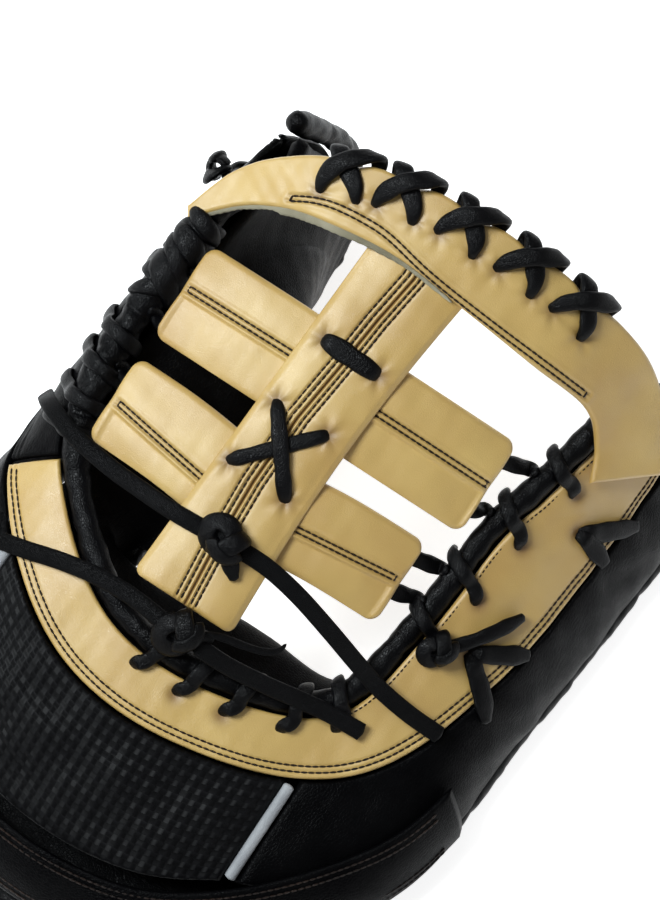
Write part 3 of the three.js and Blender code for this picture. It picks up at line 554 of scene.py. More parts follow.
# The lace's wraps over the web's edge: how far out from it their holes are, the shares of each hole and of
# the wrap's inner end, and how many of them are nodes of the mitt. The others are only here.
WRAPS = {
    "thumb_wrap": {"setback": 12.6, "nodes": 3, "places": [
        (0.1836, 0.1555), (0.2637, 0.2319), (0.3044, 0.2899), (0.336, 0.322)]},
    "finger_wrap": {"setback": 15.0, "nodes": 3, "places": [
        (0.7819, 0.7690), (0.7327, 0.7211), (0.6842, 0.6702), (0.709, 0.696), (0.66, 0.645)]},
    "crotch_wrap": {"setback": 11.4, "nodes": 2, "places": [
        (0.452, 0.440), (0.478, 0.466), (0.505, 0.493), (0.425, 0.413), (0.40, 0.388)]},
}
THUMB_LACE_HOLES = [(0.327, 20.5), (0.226, 26.0)]
THUMB_KNOT_HOLE = (0.336, 10.5)
collar_holes = [*THUMB_LACE_HOLES, THUMB_KNOT_HOLE]
for kind in WRAPS.values():
    collar_holes += [(hole, kind["setback"]) for hole, _ in kind["places"][:kind["nodes"]]]
hole_points = np.array([on_back(share, run_at(share, out), PANEL_TOP) for share, out in collar_holes])


def collar_relief(points, share, run):
    """Stretch, a dip and a raised lip round each lace hole, and a groove under the twin rows at its edge."""
    inside = (collar_end(share) - run) / run_at(share, 1.0)
    rows = hump(inside - COLLAR_ROW, 0.7) + hump(inside - COLLAR_ROW - TWIN, 0.7)
    dips = near_holes(points, hole_points, 3.0) * -1.3 + near_holes(points, hole_points, 7.0) * 0.8
    return stretch(points, COLLAR_STRETCH) + dips - rows * 0.3


def black_relief(points, share, run):
    """The stretch of the black panels, stronger than the collar's as they bend with the hand."""
    return stretch(points, 0.55)


def collar_line(share, run, sunk):
    """A line of the collar's face with its normals, sunk a little into its stretch."""
    swell = stretch(on_back(share, run, PANEL_MIDDLE), COLLAR_STRETCH)
    return on_back(share, run, PANEL_TOP - sunk + swell), back_normal(share, run)


collar_made = panel(start_of, collar_end, flat_share(PANEL_ENDS[0]), flat_share(BLONDE_END), 520, 60,
                    collar_relief)
finger_made = panel(start_of, collar_end, flat_share(BLONDE_END + 0.002), flat_share(PANEL_ENDS[1]), 260, 40,
                    collar_relief)
# Painted shade round the lace holes of the collar, where the puckers dip.
piece("collar", [collar_made], blonde_steerhide, ["back_collar"],
      near_holes(collar_made[0], hole_points, 3.4) * 0.8)
piece("finger_collar", [finger_made], black_steerhide)
collar_rows = []
row_share = np.linspace(0.035, BLONDE_END - 0.004, 1600)
for inside in (COLLAR_ROW, COLLAR_ROW + TWIN):
    row_run = collar_end(row_share) - run_at(row_share, inside)
    collar_rows.append(stitches(*collar_line(row_share, row_run, 0.15)))
row_share = np.linspace(0.03, 0.40, 900)
row_run = start_of(row_share) + run_at(row_share, INNER_ROW)
collar_rows.append(stitches(*collar_line(row_share, row_run, 0.1), pitch=2.0, length=1.6, width=0.7))
piece("collar_stitches", collar_rows, waxed_thread)

BLACK_PANELS = {
    "thumb_back": (flat_share(PANEL_ENDS[0]), beside(thumb_seam, -1)),
    "finger_back": (beside(finger_seam, 1), flat_share(PANEL_ENDS[1])),
}
for name, sides in BLACK_PANELS.items():
    made = panel(past_collar, wrist_edge, *sides, 180, 60, black_relief)
    piece(name + "_panel", [made], black_steerhide, [name])
hand_sides = (beside(thumb_seam, 1), beside(finger_seam, -1))
hand_made = panel(past_collar, wrist_edge, *hand_sides, 90, 70, black_relief)
piece("woven_panel", [hand_made], woven_nylon, ["hand_back"])

# The piping: a grey leather strip, folded round a cord.
# It is sewn between the woven mesh and the black panels, to cover and stiffen the seam.
PIPING_SEAMS = {"thumb_piping": thumb_seam, "finger_piping": finger_seam}

# Grey piping leather: split, pigmented and matt. It is one pale, even grey with a soft grain.
piping_grey = grained("grey_piping_leather", "#8F9296", "#B2B5B8", rough=0.5, pore=0.8, bump=0.3)


def carried(path, up, width, thick, sides=16, flat=0.55, close=1.0):
    """A strip on a path: side·sgn(cos a)|cos a|^flat·w/2 + up·sgn(sin a)|sin a|^0.8·t/2, with round ends."""
    ahead = unit(np.gradient(path, axis=0))
    side = unit(np.cross(ahead, np.broadcast_to(up, path.shape)))
    rise = np.cross(side, ahead)
    reach = reach_along(path)
    near = np.minimum(reach, reach[-1] - reach)
    ease = np.sqrt(np.clip(1 - (1 - np.clip(near / close, 0, 1)) ** 2, 0.04, 1))[:, None]
    a = np.linspace(0, 2 * np.pi, sides, endpoint=False)
    x = np.sign(np.cos(a)) * np.abs(np.cos(a)) ** flat
    y = np.sign(np.sin(a)) * np.abs(np.sin(a)) ** 0.8
    wide = np.broadcast_to(np.asarray(width, float), reach.shape)[:, None] / 2 * ease
    deep = np.broadcast_to(np.asarray(thick, float), reach.shape)[:, None] / 2 * ease
    verts = path[:, None, :] + (wide * x)[..., None] * side[:, None, :]
    verts += (deep * y)[..., None] * rise[:, None, :]
    n = len(path)
    i, j = np.meshgrid(np.arange(n - 1), np.arange(sides), indexing="ij")
    k = (j + 1) % sides
    ring = np.stack([i * sides + j, (i + 1) * sides + j, (i + 1) * sides + k, i * sides + k], axis=-1)
    faces = ring.reshape(-1, 4).tolist()
    faces.append(list(range(sides)))
    faces.append(list(range(n * sides - 1, (n - 1) * sides - 1, -1)))
    lie = np.stack(np.broadcast_arrays(reach[:, None], np.cumsum(np.full(sides, 0.5))[None, :]), axis=-1)
    return verts.reshape(-1, 3), faces, lie.reshape(-1, 2)


for name, seam in PIPING_SEAMS.items():
    along = np.linspace(0, 1, 121)
    run = np.full(along.shape, 0.3)
    for _ in range(5):
        share = seam(run)
        first = collar_end(share) + run_at(share, PANEL_GAP + PIPING_WIDTH / 2)
        run = first + (HAND_BACK_END - first) * along
    share = seam(run)
    cord = carried(on_back(share, run, PANEL_MIDDLE), back_normal(share, run), PIPING_WIDTH + 1.2,
                   PIPING_WIDTH + 1.2, flat=1.0)
    piece(name + "_cord", [cord], piping_grey, [name])

# The wrist strap: one band of black steerhide over the wrist opening, which holds the mitt on the hand.
# Twin rows of stitches run along both of its edges.
STRAP_WIDTH = 22.0
STRAP_PLACE = 0.77
STRAP_ENDS = (0.37, 0.63)
STRAP_ROWS = (-8.5, -6.5, 6.5, 8.5)
STRAP_FOOT = PANEL_TOP + GAP + 1.0
strap_share = np.linspace(*STRAP_ENDS, 121)[:, None]
strap_step = bunched(14, STRAP_WIDTH, LEATHER / 2)[None, :] - 0.5
strap_run = STRAP_PLACE + run_at(strap_share, STRAP_WIDTH) * strap_step
strap_points = on_back(strap_share, strap_run, STRAP_FOOT + LEATHER / 2)
piece("strap", [slab(strap_points, LEATHER / 2, stretch(strap_points, 0.2))],
      black_steerhide, ["wrist_strap"])
strap_stitches = []
row_share = np.linspace(STRAP_ENDS[0] + 0.008, STRAP_ENDS[1] - 0.008, 300)
for offset in STRAP_ROWS:
    row_run = STRAP_PLACE + run_at(row_share, offset)
    row_points = on_back(row_share, row_run, STRAP_FOOT + LEATHER)
    strap_stitches.append(stitches(row_points, back_normal(row_share, row_run)))
piece("strap_stitches", strap_stitches, waxed_thread)

# The rolled edges: a strip of thin black leather is folded over a cord and laced to the panels all round.
# The lacing pulls it into short bulges with creases between them, fuller on the finger side.
ROLL_SIDES = 28
FINGER_FULLER = 0.32
CREASE_PITCH = 21.0

# Rolled black steerhide: thin waxed leather, stretched over the cord. It is near black with finer creases.
roll_leather = grained("rolled_black_steerhide", "#020203", "#060608", rough=0.34, pore=0.9, bump=0.3,
                       crease=1.0, gloss=0.12)


def finger_swell(share):
    """The finger side's roll is fuller: 1 there and 0 on the thumb side."""
    return smoothstep(share, 0.60, 0.68) * (1 - smoothstep(share, 0.90, 0.97))


def roll(edge, up, width, flat_foot=False):
    """A round roll along an edge, its radius waved by sines of the length s and the turn a, and creased."""
    shares = np.linspace(0.01, 0.99, 780)
    path = edge(shares)
    full = width * (1 + (0.0 if flat_foot else FINGER_FULLER) * finger_swell(shares))
    verts, faces, lie = carried(path, up, full, full, sides=ROLL_SIDES, flat=1.0, close=width / 2)
    rings = verts.reshape(len(path), ROLL_SIDES, 3)
    centre = path[:, None, :]
    s = lie.reshape(len(path), ROLL_SIDES, 2)[..., 0]
    a = np.linspace(0, 2 * np.pi, ROLL_SIDES, endpoint=False)[None, :]
    bulge = 0.045 * np.sin(s / 6.3 + 0.6 * np.sin(s / 23)) + 0.028 * np.sin(s / 2.1 + 2 * a)
    bulge += 0.02 * np.sin(s / 1.3 - 3 * a + 1.0)
    bulge -= 0.06 * hump(np.mod(s, CREASE_PITCH) - CREASE_PITCH / 2, 1.2)
    folded = finger_swell(shares)[:, None]
    plait = 0.2 * np.abs(np.sin(s / 5.2 + a) * np.sin(s / 5.2 - a)) ** 0.6 - 0.1
    bulge = bulge * (1 + 0.5 * folded) + plait * folded
    moved = centre + (rings - centre) * (1 + bulge)[..., None]
    if flat_foot:
        height = (moved @ UPWARD) + MITT_PLACE[2]
        moved = moved + np.maximum(0.02 - height, 0)[..., None] * UPWARD
    return moved.reshape(-1, 3), faces, lie


piece("web_edge", [roll(opening_edge, OUT_OF_WEB, WEB_ROLL)], roll_leather,
      ["web_edge_roll"])
piece("outer_edge", [roll(outer_edge, UPWARD, OUTER_ROLL, True)], roll_leather,
      ["outer_edge_roll"])

# The web's cross bars: blonde leather folded double, with its flap sewn down by twin rows. They are laced to
# the edge at both ends. Each half swells between the rows and the border, and the corners are cut round.
BAR_START = -73.3
# spacing is how far apart a bar's twin rows are, and rows has both ends of its upper row on each side
BARS = {
    "upper": {"length": 129.0, "middle": 17.0, "width": 38.0, "bend": 0.0, "spacing": 2.1,
              "rows": {"left": [(-71.5, 19.6), (-25, 20.08)], "right": [(2, 18.9), (54.3, 18.9)]}},
    "lower": {"length": 121.0, "middle": -29.0, "width": 34.0, "bend": 3.24, "spacing": 1.9,
              "rows": {"left": [(-70.2, -28.0), (-25, -34.7)], "right": [(-1, -31.8), (45.4, -26.5)]}},
}
BAR_CROWN = 1.6
BAR_VALLEY = 0.55
BAR_CORNER = 4.0
BAR_EDGE = 2.4
BAR_STRETCH = 0.3
BEND_PLACE = -14.0
BEND_SPAN = 24.0
UNDER_POST = (-17.0, -11.0)


def to_line(x, y, line):
    """The distance in plan from each point to the nearest place of a line of points."""
    line = np.asarray(line, float)
    a, b = line[:-1], line[1:]
    ab = b - a
    ap = np.stack([x, y], axis=-1)[..., None, :] - a
    t = np.clip((ap * ab).sum(-1) / (ab ** 2).sum(-1), 0, 1)
    return np.linalg.norm(ap - ab * t[..., None], axis=-1).min(-1)


def crown(t):
    """A bar's swell across its width, t being -1 to 1: crown·(1 - |t|^2.2)."""
    return BAR_CROWN * (1 - np.abs(t) ** 2.2)


def sewn(away, ridge, ridge_at):
    """The groove that a row of stitches pulls, 0.4·exp(-(away/0.6)²) deep, and the ridge beside it."""
    return ridge * hump(away - ridge_at, 0.8) - 0.4 * hump(away, 0.6)


def flap_step(x, y, bar, side):
    """The step down past the flap's fold, 1 / (1 + exp(-d/0.22)) - 1 of the distance d to it, and its lip."""
    (x0, y0), (x1, y1) = bar["rows"][side]
    fold = y0 + (y1 - y0) * (x - x0) / (x1 - x0) - bar["spacing"] - 2.0
    past = y - fold
    under = smoothstep(x, *UNDER_POST)
    from_end, share = (x - x0, 1 - under) if side == "left" else (x1 - x, under)
    step = 1 / (1 + np.exp(-np.clip(past, -20, 20) / 0.22)) - 1
    return (step + 0.2 * hump(past - 0.5, 0.6)) * np.clip(from_end / 0.5, 0, 1) * share


def on_bar(line, bar):
    """Points of a plan line on a bar's face: arch, its leather, its crown, its valley and its stretch."""
    t = (line[:, 1] - bar["middle"]) / bar["width"] * 2
    mid = np.column_stack([line, arch(line[:, 0]) - GAP - WEB_LEATHER])
    face = WEB_LEATHER / 2 - 0.1 + crown(t) - BAR_VALLEY + stretch(mid, BAR_STRETCH)
    return mid + face[:, None] * OUT_OF_WEB


def top_painted_shade(made, painted_shade):
    """The painted shade of a slab's vertices: given on its outer face, and none on its inner one."""
    return np.concatenate([painted_shade.ravel(), np.zeros(len(made[0]) - painted_shade.size)])


bar_stitches = []
for name, bar in BARS.items():
    s = bunched(140, bar["length"], WEB_LEATHER / 2)[:, None]
    t = bunched(96, bar["width"], WEB_LEATHER / 2)[None, :]
    x = BAR_START + bar["length"] * s + 0 * t
    from_corner = BAR_CORNER - np.clip(np.minimum(x - x.min(), x.max() - x), 0, BAR_CORNER)
    inset = BAR_CORNER - np.sqrt(BAR_CORNER ** 2 - from_corner ** 2)
    bend = bar["bend"] * (0.25 - hump(x - BEND_PLACE, BEND_SPAN))
    y = bar["middle"] + (bar["width"] - 2 * inset) * (t - 0.5) + bend
    points = np.stack([x, y, arch(x) - GAP - WEB_LEATHER], axis=-1)
    firsts = [np.array(line) for line in bar["rows"].values()]
    seconds = [line - [0, bar["spacing"]] for line in firsts]
    rows = np.min([to_line(x, y, line) for line in firsts + seconds], axis=0)
    relief = stretch(points, BAR_STRETCH) + crown(2 * t - 1) - BAR_VALLEY * hump(rows, 4.0)
    relief = relief + sewn(rows, 0.25, 1.6) + flap_step(x, y, bar, "left") + flap_step(x, y, bar, "right")
    made = slab(points, WEB_LEATHER / 2, relief, edge=BAR_EDGE)
    # Painted shade along the grooves of the stitch rows.
    piece("bar_" + name, [made], blonde_steerhide, ["web_bar_" + name],
          top_painted_shade(made, 0.3 * hump(rows, 0.8)))
    fine = np.linspace(0, 1, 200)[:, None]
    for (first, last), outer in zip(firsts, (0, 1)):
        for offset in (0.0, bar["spacing"]):
            row = first + (last - first) * fine - [0, offset]
            bar_stitches.append(stitches(on_bar(row, bar), OUT_OF_WEB))
        closing = (first, last)[outer] - fine * [0, bar["spacing"]]
        bar_stitches.append(stitches(on_bar(closing, bar), OUT_OF_WEB, pitch=2.0))
piece("bar_stitches", bar_stitches, waxed_thread)

# The post: a wide piece of blonde leather folded so that its two edges meet in the middle.
# Two rows of stitches run down each side of that seam, and the crossing laces pull the leather into puckers.
POST_FOOT = -75.5
POST_WIDTH = 41.0
POST_WAIST = 2.2
POST_LEAN = 8.0
POST_FOOT_CORNER = 3.25
POST_EDGE = 2.8
POST_SIDE = 20.0
POST_UNDER_RIM = 16.0
WEB_STRETCH = 0.34
# The seam's x, y from the rim to the foot, and each row's place beside it
POST_SEAM = np.array([(-6.5, 64), (-9.3, 45), (-11.2, 26), (-14.2, 1.5), (-15.0, -26), (-13.8, -54),
                      (-11.9, -75.5)])
POST_ROWS = (-4.2, -2.1, 1.9, 3.7)
# The place beside the seam and the height of each ridge between the rows
POST_RIDGES = ((-1.0, 0.34), (0.9, 0.34), (-3.15, 0.3), (2.8, 0.3))
# The holes of the lace bar and of the two laces of the cross, each from one hole to the other
POST_HOLES = np.array([(-21.2, 29.4), (0.8, 29.0), (-26.2, -24.1), (-2.4, 1.8), (-23.4, 1.9), (-2.3, -25.4)])
RIM_REACH = 186.0
# The rim's inner edge x, y and outer edge x, y, from the finger side to the thumb side
RIM_ROWS = np.array([
    [-0.462, 0.43, -0.476, 0.47], [-0.387, 0.58, -0.436, 0.68], [-0.312, 0.66, -0.366, 0.83],
    [-0.226, 0.70, -0.269, 0.94], [-0.080, 0.73, -0.110, 1.02], [0.086, 0.70, 0.075, 1.04],
    [0.242, 0.67, 0.250, 1.02], [0.371, 0.65, 0.419, 0.95], [0.430, 0.55, 0.527, 0.78],
    [0.462, 0.42, 0.570, 0.60],
])


def rim_edge(share, across):
    """A point of the rim in plan, between its inner edge and its outer edge."""
    row = through(RIM_ROWS * [RIM_REACH, OPENING_HALF_LENGTH, RIM_REACH, OPENING_HALF_LENGTH], share)
    return row[..., :2] + (row[..., 2:] - row[..., :2]) * np.asarray(across)[..., None]


def seam_x(y):
    """The post's seam at a height of the web."""
    return np.interp(y, POST_SEAM[::-1, 1], POST_SEAM[::-1, 0])


def post_crown(away):
    """The swell of each half of the post, 1.3·sin(pi·away)^0.7 - 0.3, away being 0 at its seam."""
    return 1.3 * np.sin(np.pi * np.clip(away + 0.06, 0, 1)) ** 0.7 - 0.3


def puckers(x, y, holes, reach, depth, folds):
    """Where a lace pulls leather in: -depth·exp(-(r/reach)²), and folds that run out as cos(5·angle)."""
    gap = np.stack([x, y], axis=-1)[..., None, :] - holes
    r = np.linalg.norm(gap, axis=-1)
    angle = np.arctan2(gap[..., 1], gap[..., 0])
    turn = np.arange(len(holes)) * 1.7
    radiating = folds * np.cos(5 * angle + turn) * hump(r - 1.3 * reach, reach)
    return (-depth * hump(r, reach) + radiating).sum(-1)


post_top = rim_edge(0.5, 0.0)[1] + POST_UNDER_RIM
post_s = bunched(170, post_top - POST_FOOT, WEB_LEATHER / 2)[None, :]
post_y = POST_FOOT + (post_top - POST_FOOT) * post_s
post_waist = POST_WAIST * np.sin(np.pi * post_s)
post_middle = POST_CENTRE + POST_LEAN * (post_s - 0.5) - post_waist
from_foot = np.clip((post_y - POST_FOOT) / 3.5, 0, 1)
post_corner = POST_FOOT_CORNER * np.sqrt(np.clip(1 - (1 - from_foot) ** 2, 0, 1)) - POST_FOOT_CORNER
post_half = POST_WIDTH / 2 - post_waist + post_corner
post_seam = seam_x(post_y)

# The grid is finer beside the seam, where the rows of stitches and the ridges are
left_across = -1 + bunched(60, POST_SIDE, WEB_LEATHER / 2)
left_across = np.concatenate([left_across[left_across < -0.12], np.linspace(-0.11, 0, 14)])
across = np.concatenate([left_across, -left_across[:-1][::-1]])[:, None]
post_sides = np.where(across < 0, post_seam - (post_middle - post_half), post_middle + post_half - post_seam)
post_x = post_seam + post_sides * across
post_y = np.broadcast_to(post_y, post_x.shape)
post_points = np.stack([post_x, post_y, arch(post_x)], axis=-1)
from_seam = post_x - post_seam
post_rows = sum(hump(from_seam - offset, 0.55) for offset in POST_ROWS)
post_ridges = sum(height * hump(from_seam - offset, 0.6) for offset, height in POST_RIDGES)
post_groove = 1.3 * hump(from_seam, 0.38)
post_fold = 0.5 * hump(post_x - 3.6 - 0.02 * post_y, 2.2) * hump(post_y + 22, 26)
post_relief = stretch(post_points, WEB_STRETCH) + post_crown(np.abs(across)) - 0.4 * post_rows + post_ridges
post_relief += puckers(post_x, post_y, POST_HOLES, 3.4, 1.0, 0.28) - post_groove - post_fold
post_made = slab(post_points, WEB_LEATHER / 2, post_relief, edge=POST_EDGE)
# Painted shade in the seam's groove, along the stitch rows and round the lace holes.
post_painted_shade = 0.9 * hump(from_seam, 0.45) + 0.25 * post_rows
post_painted_shade += near_holes(post_points[..., :2], POST_HOLES, 3.6) * 0.8
piece("post", [post_made], blonde_steerhide, ["web_post"], top_painted_shade(post_made, post_painted_shade))
post_stitches = []
y = np.linspace(-74.0, 66.0, 700)
for offset in POST_ROWS:
    x = seam_x(y) + offset
    z = arch(x) + WEB_LEATHER / 2 - 0.15 + post_crown(np.abs(offset) / POST_SIDE)
    z += puckers(x, y, POST_HOLES, 3.4, 1.0, 0.0) + stretch(np.column_stack([x, y, arch(x)]), WEB_STRETCH)
    post_stitches.append(stitches(np.column_stack([x, y, z]), OUT_OF_WEB))
piece("post_stitches", post_stitches, waxed_thread)

# The rim: a curved blonde band closes the top of the web from the thumb tip to the finger tip.
# Twin rows run along its middle, and its inner edge is cut raw, so the grey core of the leather shows.
RIM_LENGTH = 230.0
RIM_BREADTH = 32.0
RIM_TWIN = 2.1
RIM_LACE_SHARES = 0.345 + 0.083 * np.arange(5)
RIM_HOLE_DRIFTS = (5.3, -10.0)
RIM_HOLE_SETBACK = 13.0
SCALLOP = 2.6
RIM_STITCH = np.array([(-58.4, 65.8), (-51, 69.5), (-42.7, 71.8), (-31, 73.0), (-21, 72.6), (-2.7, 69.2),
                       (21.9, 66.9), (45, 65.6), (66.5, 64.6)])


def rim_height(share):
    """The rim lies over the post in the middle, and comes down onto the edge roll at its ends."""
    return (GAP + WEB_LEATHER) * (1 - 1.85 * smoothstep(np.abs(share - 0.5), 0.15, 0.42))


def rim_at(share, across):
    """A point of the rim's middle."""
    plan = rim_edge(share, across)
    return np.concatenate([plan, (arch(plan[..., 0]) + rim_height(share))[..., None]], axis=-1)


def rim_normal(share, across):
    """The rim's normal: along × across."""
    along = rim_at(share + 0.003, across) - rim_at(share - 0.003, across)
    over = rim_at(share, across + 0.02) - rim_at(share, across - 0.02)
    return unit(np.cross(along, over))


def rim_share(share, drift):
    """The share that lies a drift in mm further along the rim's outer edge."""
    span = np.linalg.norm(rim_at(share + 0.01, 1.0) - rim_at(share - 0.01, 1.0)) / 0.02
    return share + drift / span


def rim_crown(x, y):
    """The rim's swell between its rows and its laced edge, and slanting folds at its finger end."""
    swell = 0.9 * hump(y - 82 + 0.0022 * (x + 5) ** 2, 9.0)
    return swell + 0.1 * hump(x + 60, 14) * np.sin((x * 0.55 + y * 0.9) * 1.1)


def on_rim(line):
    """Points of a plan line on the rim's face: arch plus the rim's height at the share nearest in x."""
    shares = np.linspace(0, 1, 400)
    middle = rim_edge(shares, 0.4 + shares * 0)
    nearest = np.abs(line[:, None, 0] - middle[None, :, 0]).argmin(1)
    mid = np.column_stack([line, arch(line[:, 0]) + rim_height(shares[nearest])])
    face = WEB_LEATHER / 2 - 0.1 + stretch(mid, WEB_STRETCH) + rim_crown(line[:, 0], line[:, 1])
    return mid + face[:, None] * OUT_OF_WEB


def dense(points, step):
    """Catmull-Rom curve through points, read every step mm of its length."""
    fine = through(points, np.linspace(0, 1, 60 * len(points)))
    reach = reach_along(fine)
    want = np.linspace(0, reach[-1], max(int(reach[-1] / step), 4) + 1)
    return np.stack([np.interp(want, reach, fine[:, k]) for k in range(fine.shape[1])], axis=-1)


rim_s, rim_t = np.broadcast_arrays(bunched(330, RIM_LENGTH, WEB_LEATHER / 2)[:, None],
                                   bunched(46, RIM_BREADTH, WEB_LEATHER / 2)[None, :])
scallop = -SCALLOP * sum(hump((rim_s - share) * RIM_LENGTH, 4.5) for share in RIM_LACE_SHARES)
to_outside = unit(rim_at(rim_s, rim_t * 0 + 1.0) - rim_at(rim_s, rim_t * 0))
rim_points = rim_at(rim_s, rim_t) + to_outside * (scallop * rim_t ** 6)[..., None]
rim_x, rim_y = rim_points[..., 0], rim_points[..., 1]
rim_twin = np.minimum(to_line(rim_x, rim_y, dense(RIM_STITCH, 4.0)),
                      to_line(rim_x, rim_y, dense(RIM_STITCH - [0, RIM_TWIN], 4.0)))
rim_holes = []
for share in RIM_LACE_SHARES:
    for drift in RIM_HOLE_DRIFTS:
        local = rim_share(share, drift)
        outside = unit(rim_at(local, 1.0) - rim_at(local, 0.6))
        rim_holes.append((rim_at(local, 1.0) - outside * RIM_HOLE_SETBACK)[:2])
rim_holes = np.array(rim_holes)
rim_relief = stretch(rim_points, WEB_STRETCH) + rim_crown(rim_x, rim_y) + sewn(rim_twin, 0.2, 1.5)
rim_relief += puckers(rim_x, rim_y, rim_holes, 3.0, 0.8, 0.2)
rim_made = slab(rim_points, WEB_LEATHER / 2, rim_relief)
# Painted shade round the lace holes and along the twin rows of stitches.
rim_painted_shade = near_holes(rim_points[..., :2], rim_holes, 3.2) * 0.7 + 0.25 * hump(rim_twin, 0.8)
piece("rim", [rim_made], blonde_steerhide, ["web_rim"], top_painted_shade(rim_made, rim_painted_shade))

# Raw cut edge: the fibres of the leather's core, which the dye didn't reach, grey-green, dry and fuzzy.
raw_leather = grained("raw_cut_leather_edge", "#857F68", "#B5AF98", rough=0.85, pore=0.45, bump=0.7)
raw_share = np.linspace(0.03, 0.53, 300)
raw_path = rim_at(raw_share, -0.02 + raw_share * 0)
raw_path[:, 2] -= 0.5
raw_width = 1.8 + 2.2 * smoothstep(raw_share, 0.19, 0.22) - 2.8 * smoothstep(raw_share, 0.30, 0.53)
raw_width += 0.35 * np.sin(raw_share * 260) * np.sin(raw_share * 171)
raw_up = unit(np.array([0.0, -0.25, 1.0]))
piece("rim_raw_edge", [carried(raw_path, raw_up, raw_width, 2.0, sides=14, flat=0.5, close=1.5)],
      raw_leather)

rim_stitches = []
for offset in (0.0, RIM_TWIN):
    rim_stitches.append(stitches(on_rim(dense(RIM_STITCH - [0, offset], 0.5)), OUT_OF_WEB))
for end in (RIM_STITCH[0], RIM_STITCH[-1]):
    closing = end - np.linspace(0, RIM_TWIN, 8)[:, None] * [0, 1]
    rim_stitches.append(stitches(on_rim(closing), OUT_OF_WEB, pitch=2.0))
piece("rim_stitches", rim_stitches, waxed_thread)

# The lacing: flat rawhide lace, dyed black and waxed. It goes over the rolled edge through holes in the
# panels, ties the bars and the rim on, and crosses over the post.
LACE_WIDTH = 6.5
LACE_THICK = 2.2
LACE_STEP = 0.85
ON_PANEL = PANEL_TOP + LACE_THICK / 2 + 0.3
ON_POST = WEB_LEATHER / 2 + LACE_THICK / 2 + 0.2
ON_RIM = WEB_LEATHER / 2 + LACE_THICK / 2 + 0.4
UNDER_BAR = -GAP - 1.5 * WEB_LEATHER - GAP - LACE_THICK / 2
ON_ROLL = WEB_ROLL / 2 + LACE_THICK / 2 + 0.5

# Waxed black rawhide lace: cut from one hide and pulled through wax, near black, satin and finely creased.
black_lace = grained("waxed_black_rawhide_lace", "#020203", "#070709", rough=0.34, pore=0.7, bump=0.34,
                     crease=1.2, gloss=0.14)


def roll_reach(share):
    """How far a lace's middle lies from the roll's middle."""
    return ON_ROLL + FINGER_FULLER / 2 * WEB_ROLL * finger_swell(share)


def spoke(share, angle):
    """A direction square to the edge roll: outward·cos(angle) + out of the web·sin(angle)."""
    return outward(share) * np.cos(angle)[..., None] + OUT_OF_WEB * np.sin(angle)[..., None]


def lace(points, ups, width=LACE_WIDTH, thick=LACE_THICK, seed=1, taper=4.0, pinch=0.4):
    """A flat lace through points, its face turned to ups, its width waved a little as rawhide is."""
    ups = np.broadcast_to(ups, np.shape(points))
    both = dense(np.column_stack([points, ups]), LACE_STEP)
    path, up = both[:, :3], unit(both[:, 3:])
    rng = np.random.default_rng(seed)
    s = np.arange(len(path)) * LACE_STEP
    wave = 1 + 0.05 * np.sin(s / 3.1 + rng.uniform(0, 6)) + 0.03 * np.sin(s / 1.3 + rng.uniform(0, 6))
    narrow = 1 - pinch * hump(np.minimum(s, s[-1] - s), taper)
    thickness = thick * (1.12 + 0.06 * np.sin(s / 2.2))
    return carried(path, up, width * wave * narrow, thickness, sides=16, flat=0.7, close=0.8)


def wrap(hole, inside, seed, setback):
    """A lace from its hole in the collar up over the roll to the inside."""
    # The distance out from the edge, the height over the back, and the drift to the inner end's share
    rises = ((setback + 0.2, PANEL_TOP - 3.0, 0.0), (setback - 1.0, PANEL_TOP - 0.6, 0.0),
             (setback - 2.6, ON_PANEL + 0.2, 0.08), (setback / 2 + 2.1, ON_PANEL + 0.7, 0.25),
             (WEB_ROLL / 2 + PANEL_GAP, ON_PANEL + 0.7, 0.42))
    points, ups = [], []
    for distance, height, drift in rises:
        share = hole + (inside - hole) * drift
        run = run_at(share, distance)
        points.append(on_back(share, run, height))
        ups.append(back_normal(share, run))
    low = points[-1] - opening_edge(share)
    first = np.arctan2(low[2], low @ outward(share))
    reach = np.linalg.norm(low)
    for k in np.linspace(0.55, 1.15, 6):
        share = hole + (inside - hole) * k
        turn = (k - 0.42) / 0.58
        way = spoke(share, first + (np.radians(165) - first) * turn)
        settled = reach + (roll_reach(share) - reach) * min(turn * 1.5, 1.0)
        points.append(opening_edge(share) + way * settled)
        ups.append(way)
    return lace(points, ups, width=5.6, seed=seed)


for name, kind in WRAPS.items():
    nodes = [f"{name}_{i + 1}" for i in range(kind["nodes"])]
    wraps = [wrap(*place, seed=i, setback=kind["setback"]) for i, place in enumerate(kind["places"])]
    piece(name + "s", wraps, black_lace, nodes)

braid = []
for i, middle in enumerate(np.arange(0.772, 0.840, 0.021)):
    for lean in (-1, 1):
        k = np.linspace(0, 1, 7)
        span = 0.030 + 0.009 * np.sin(1.7 * i)
        shares = middle + 0.005 * np.sin(2.4 * i + lean) + lean * span * (k - 0.5)
        way = spoke(shares, np.radians(176 - 168 * k))
        reach = roll_reach(shares) - 0.8 + (1.7 if lean > 0 else 0.2) * np.sin(np.pi * k)
        width = 8.0 + 1.6 * np.sin(3.1 * i + lean)
        braid.append(lace(opening_edge(shares) + way * reach[:, None], way, width=width, thick=2.8,
                          seed=90 + 2 * i + lean, taper=6.0, pinch=0.6))
piece("finger_edge_braid", braid, black_lace)

# The bar that each tie holds, its side and its height on the web
TIES = [("upper", "thumb", 28.0), ("upper", "thumb", 7.5), ("lower", "thumb", -18.0),
        ("lower", "thumb", -32.0), ("upper", "finger", 25.0), ("upper", "finger", 3.0),
        ("lower", "finger", -20.0)]


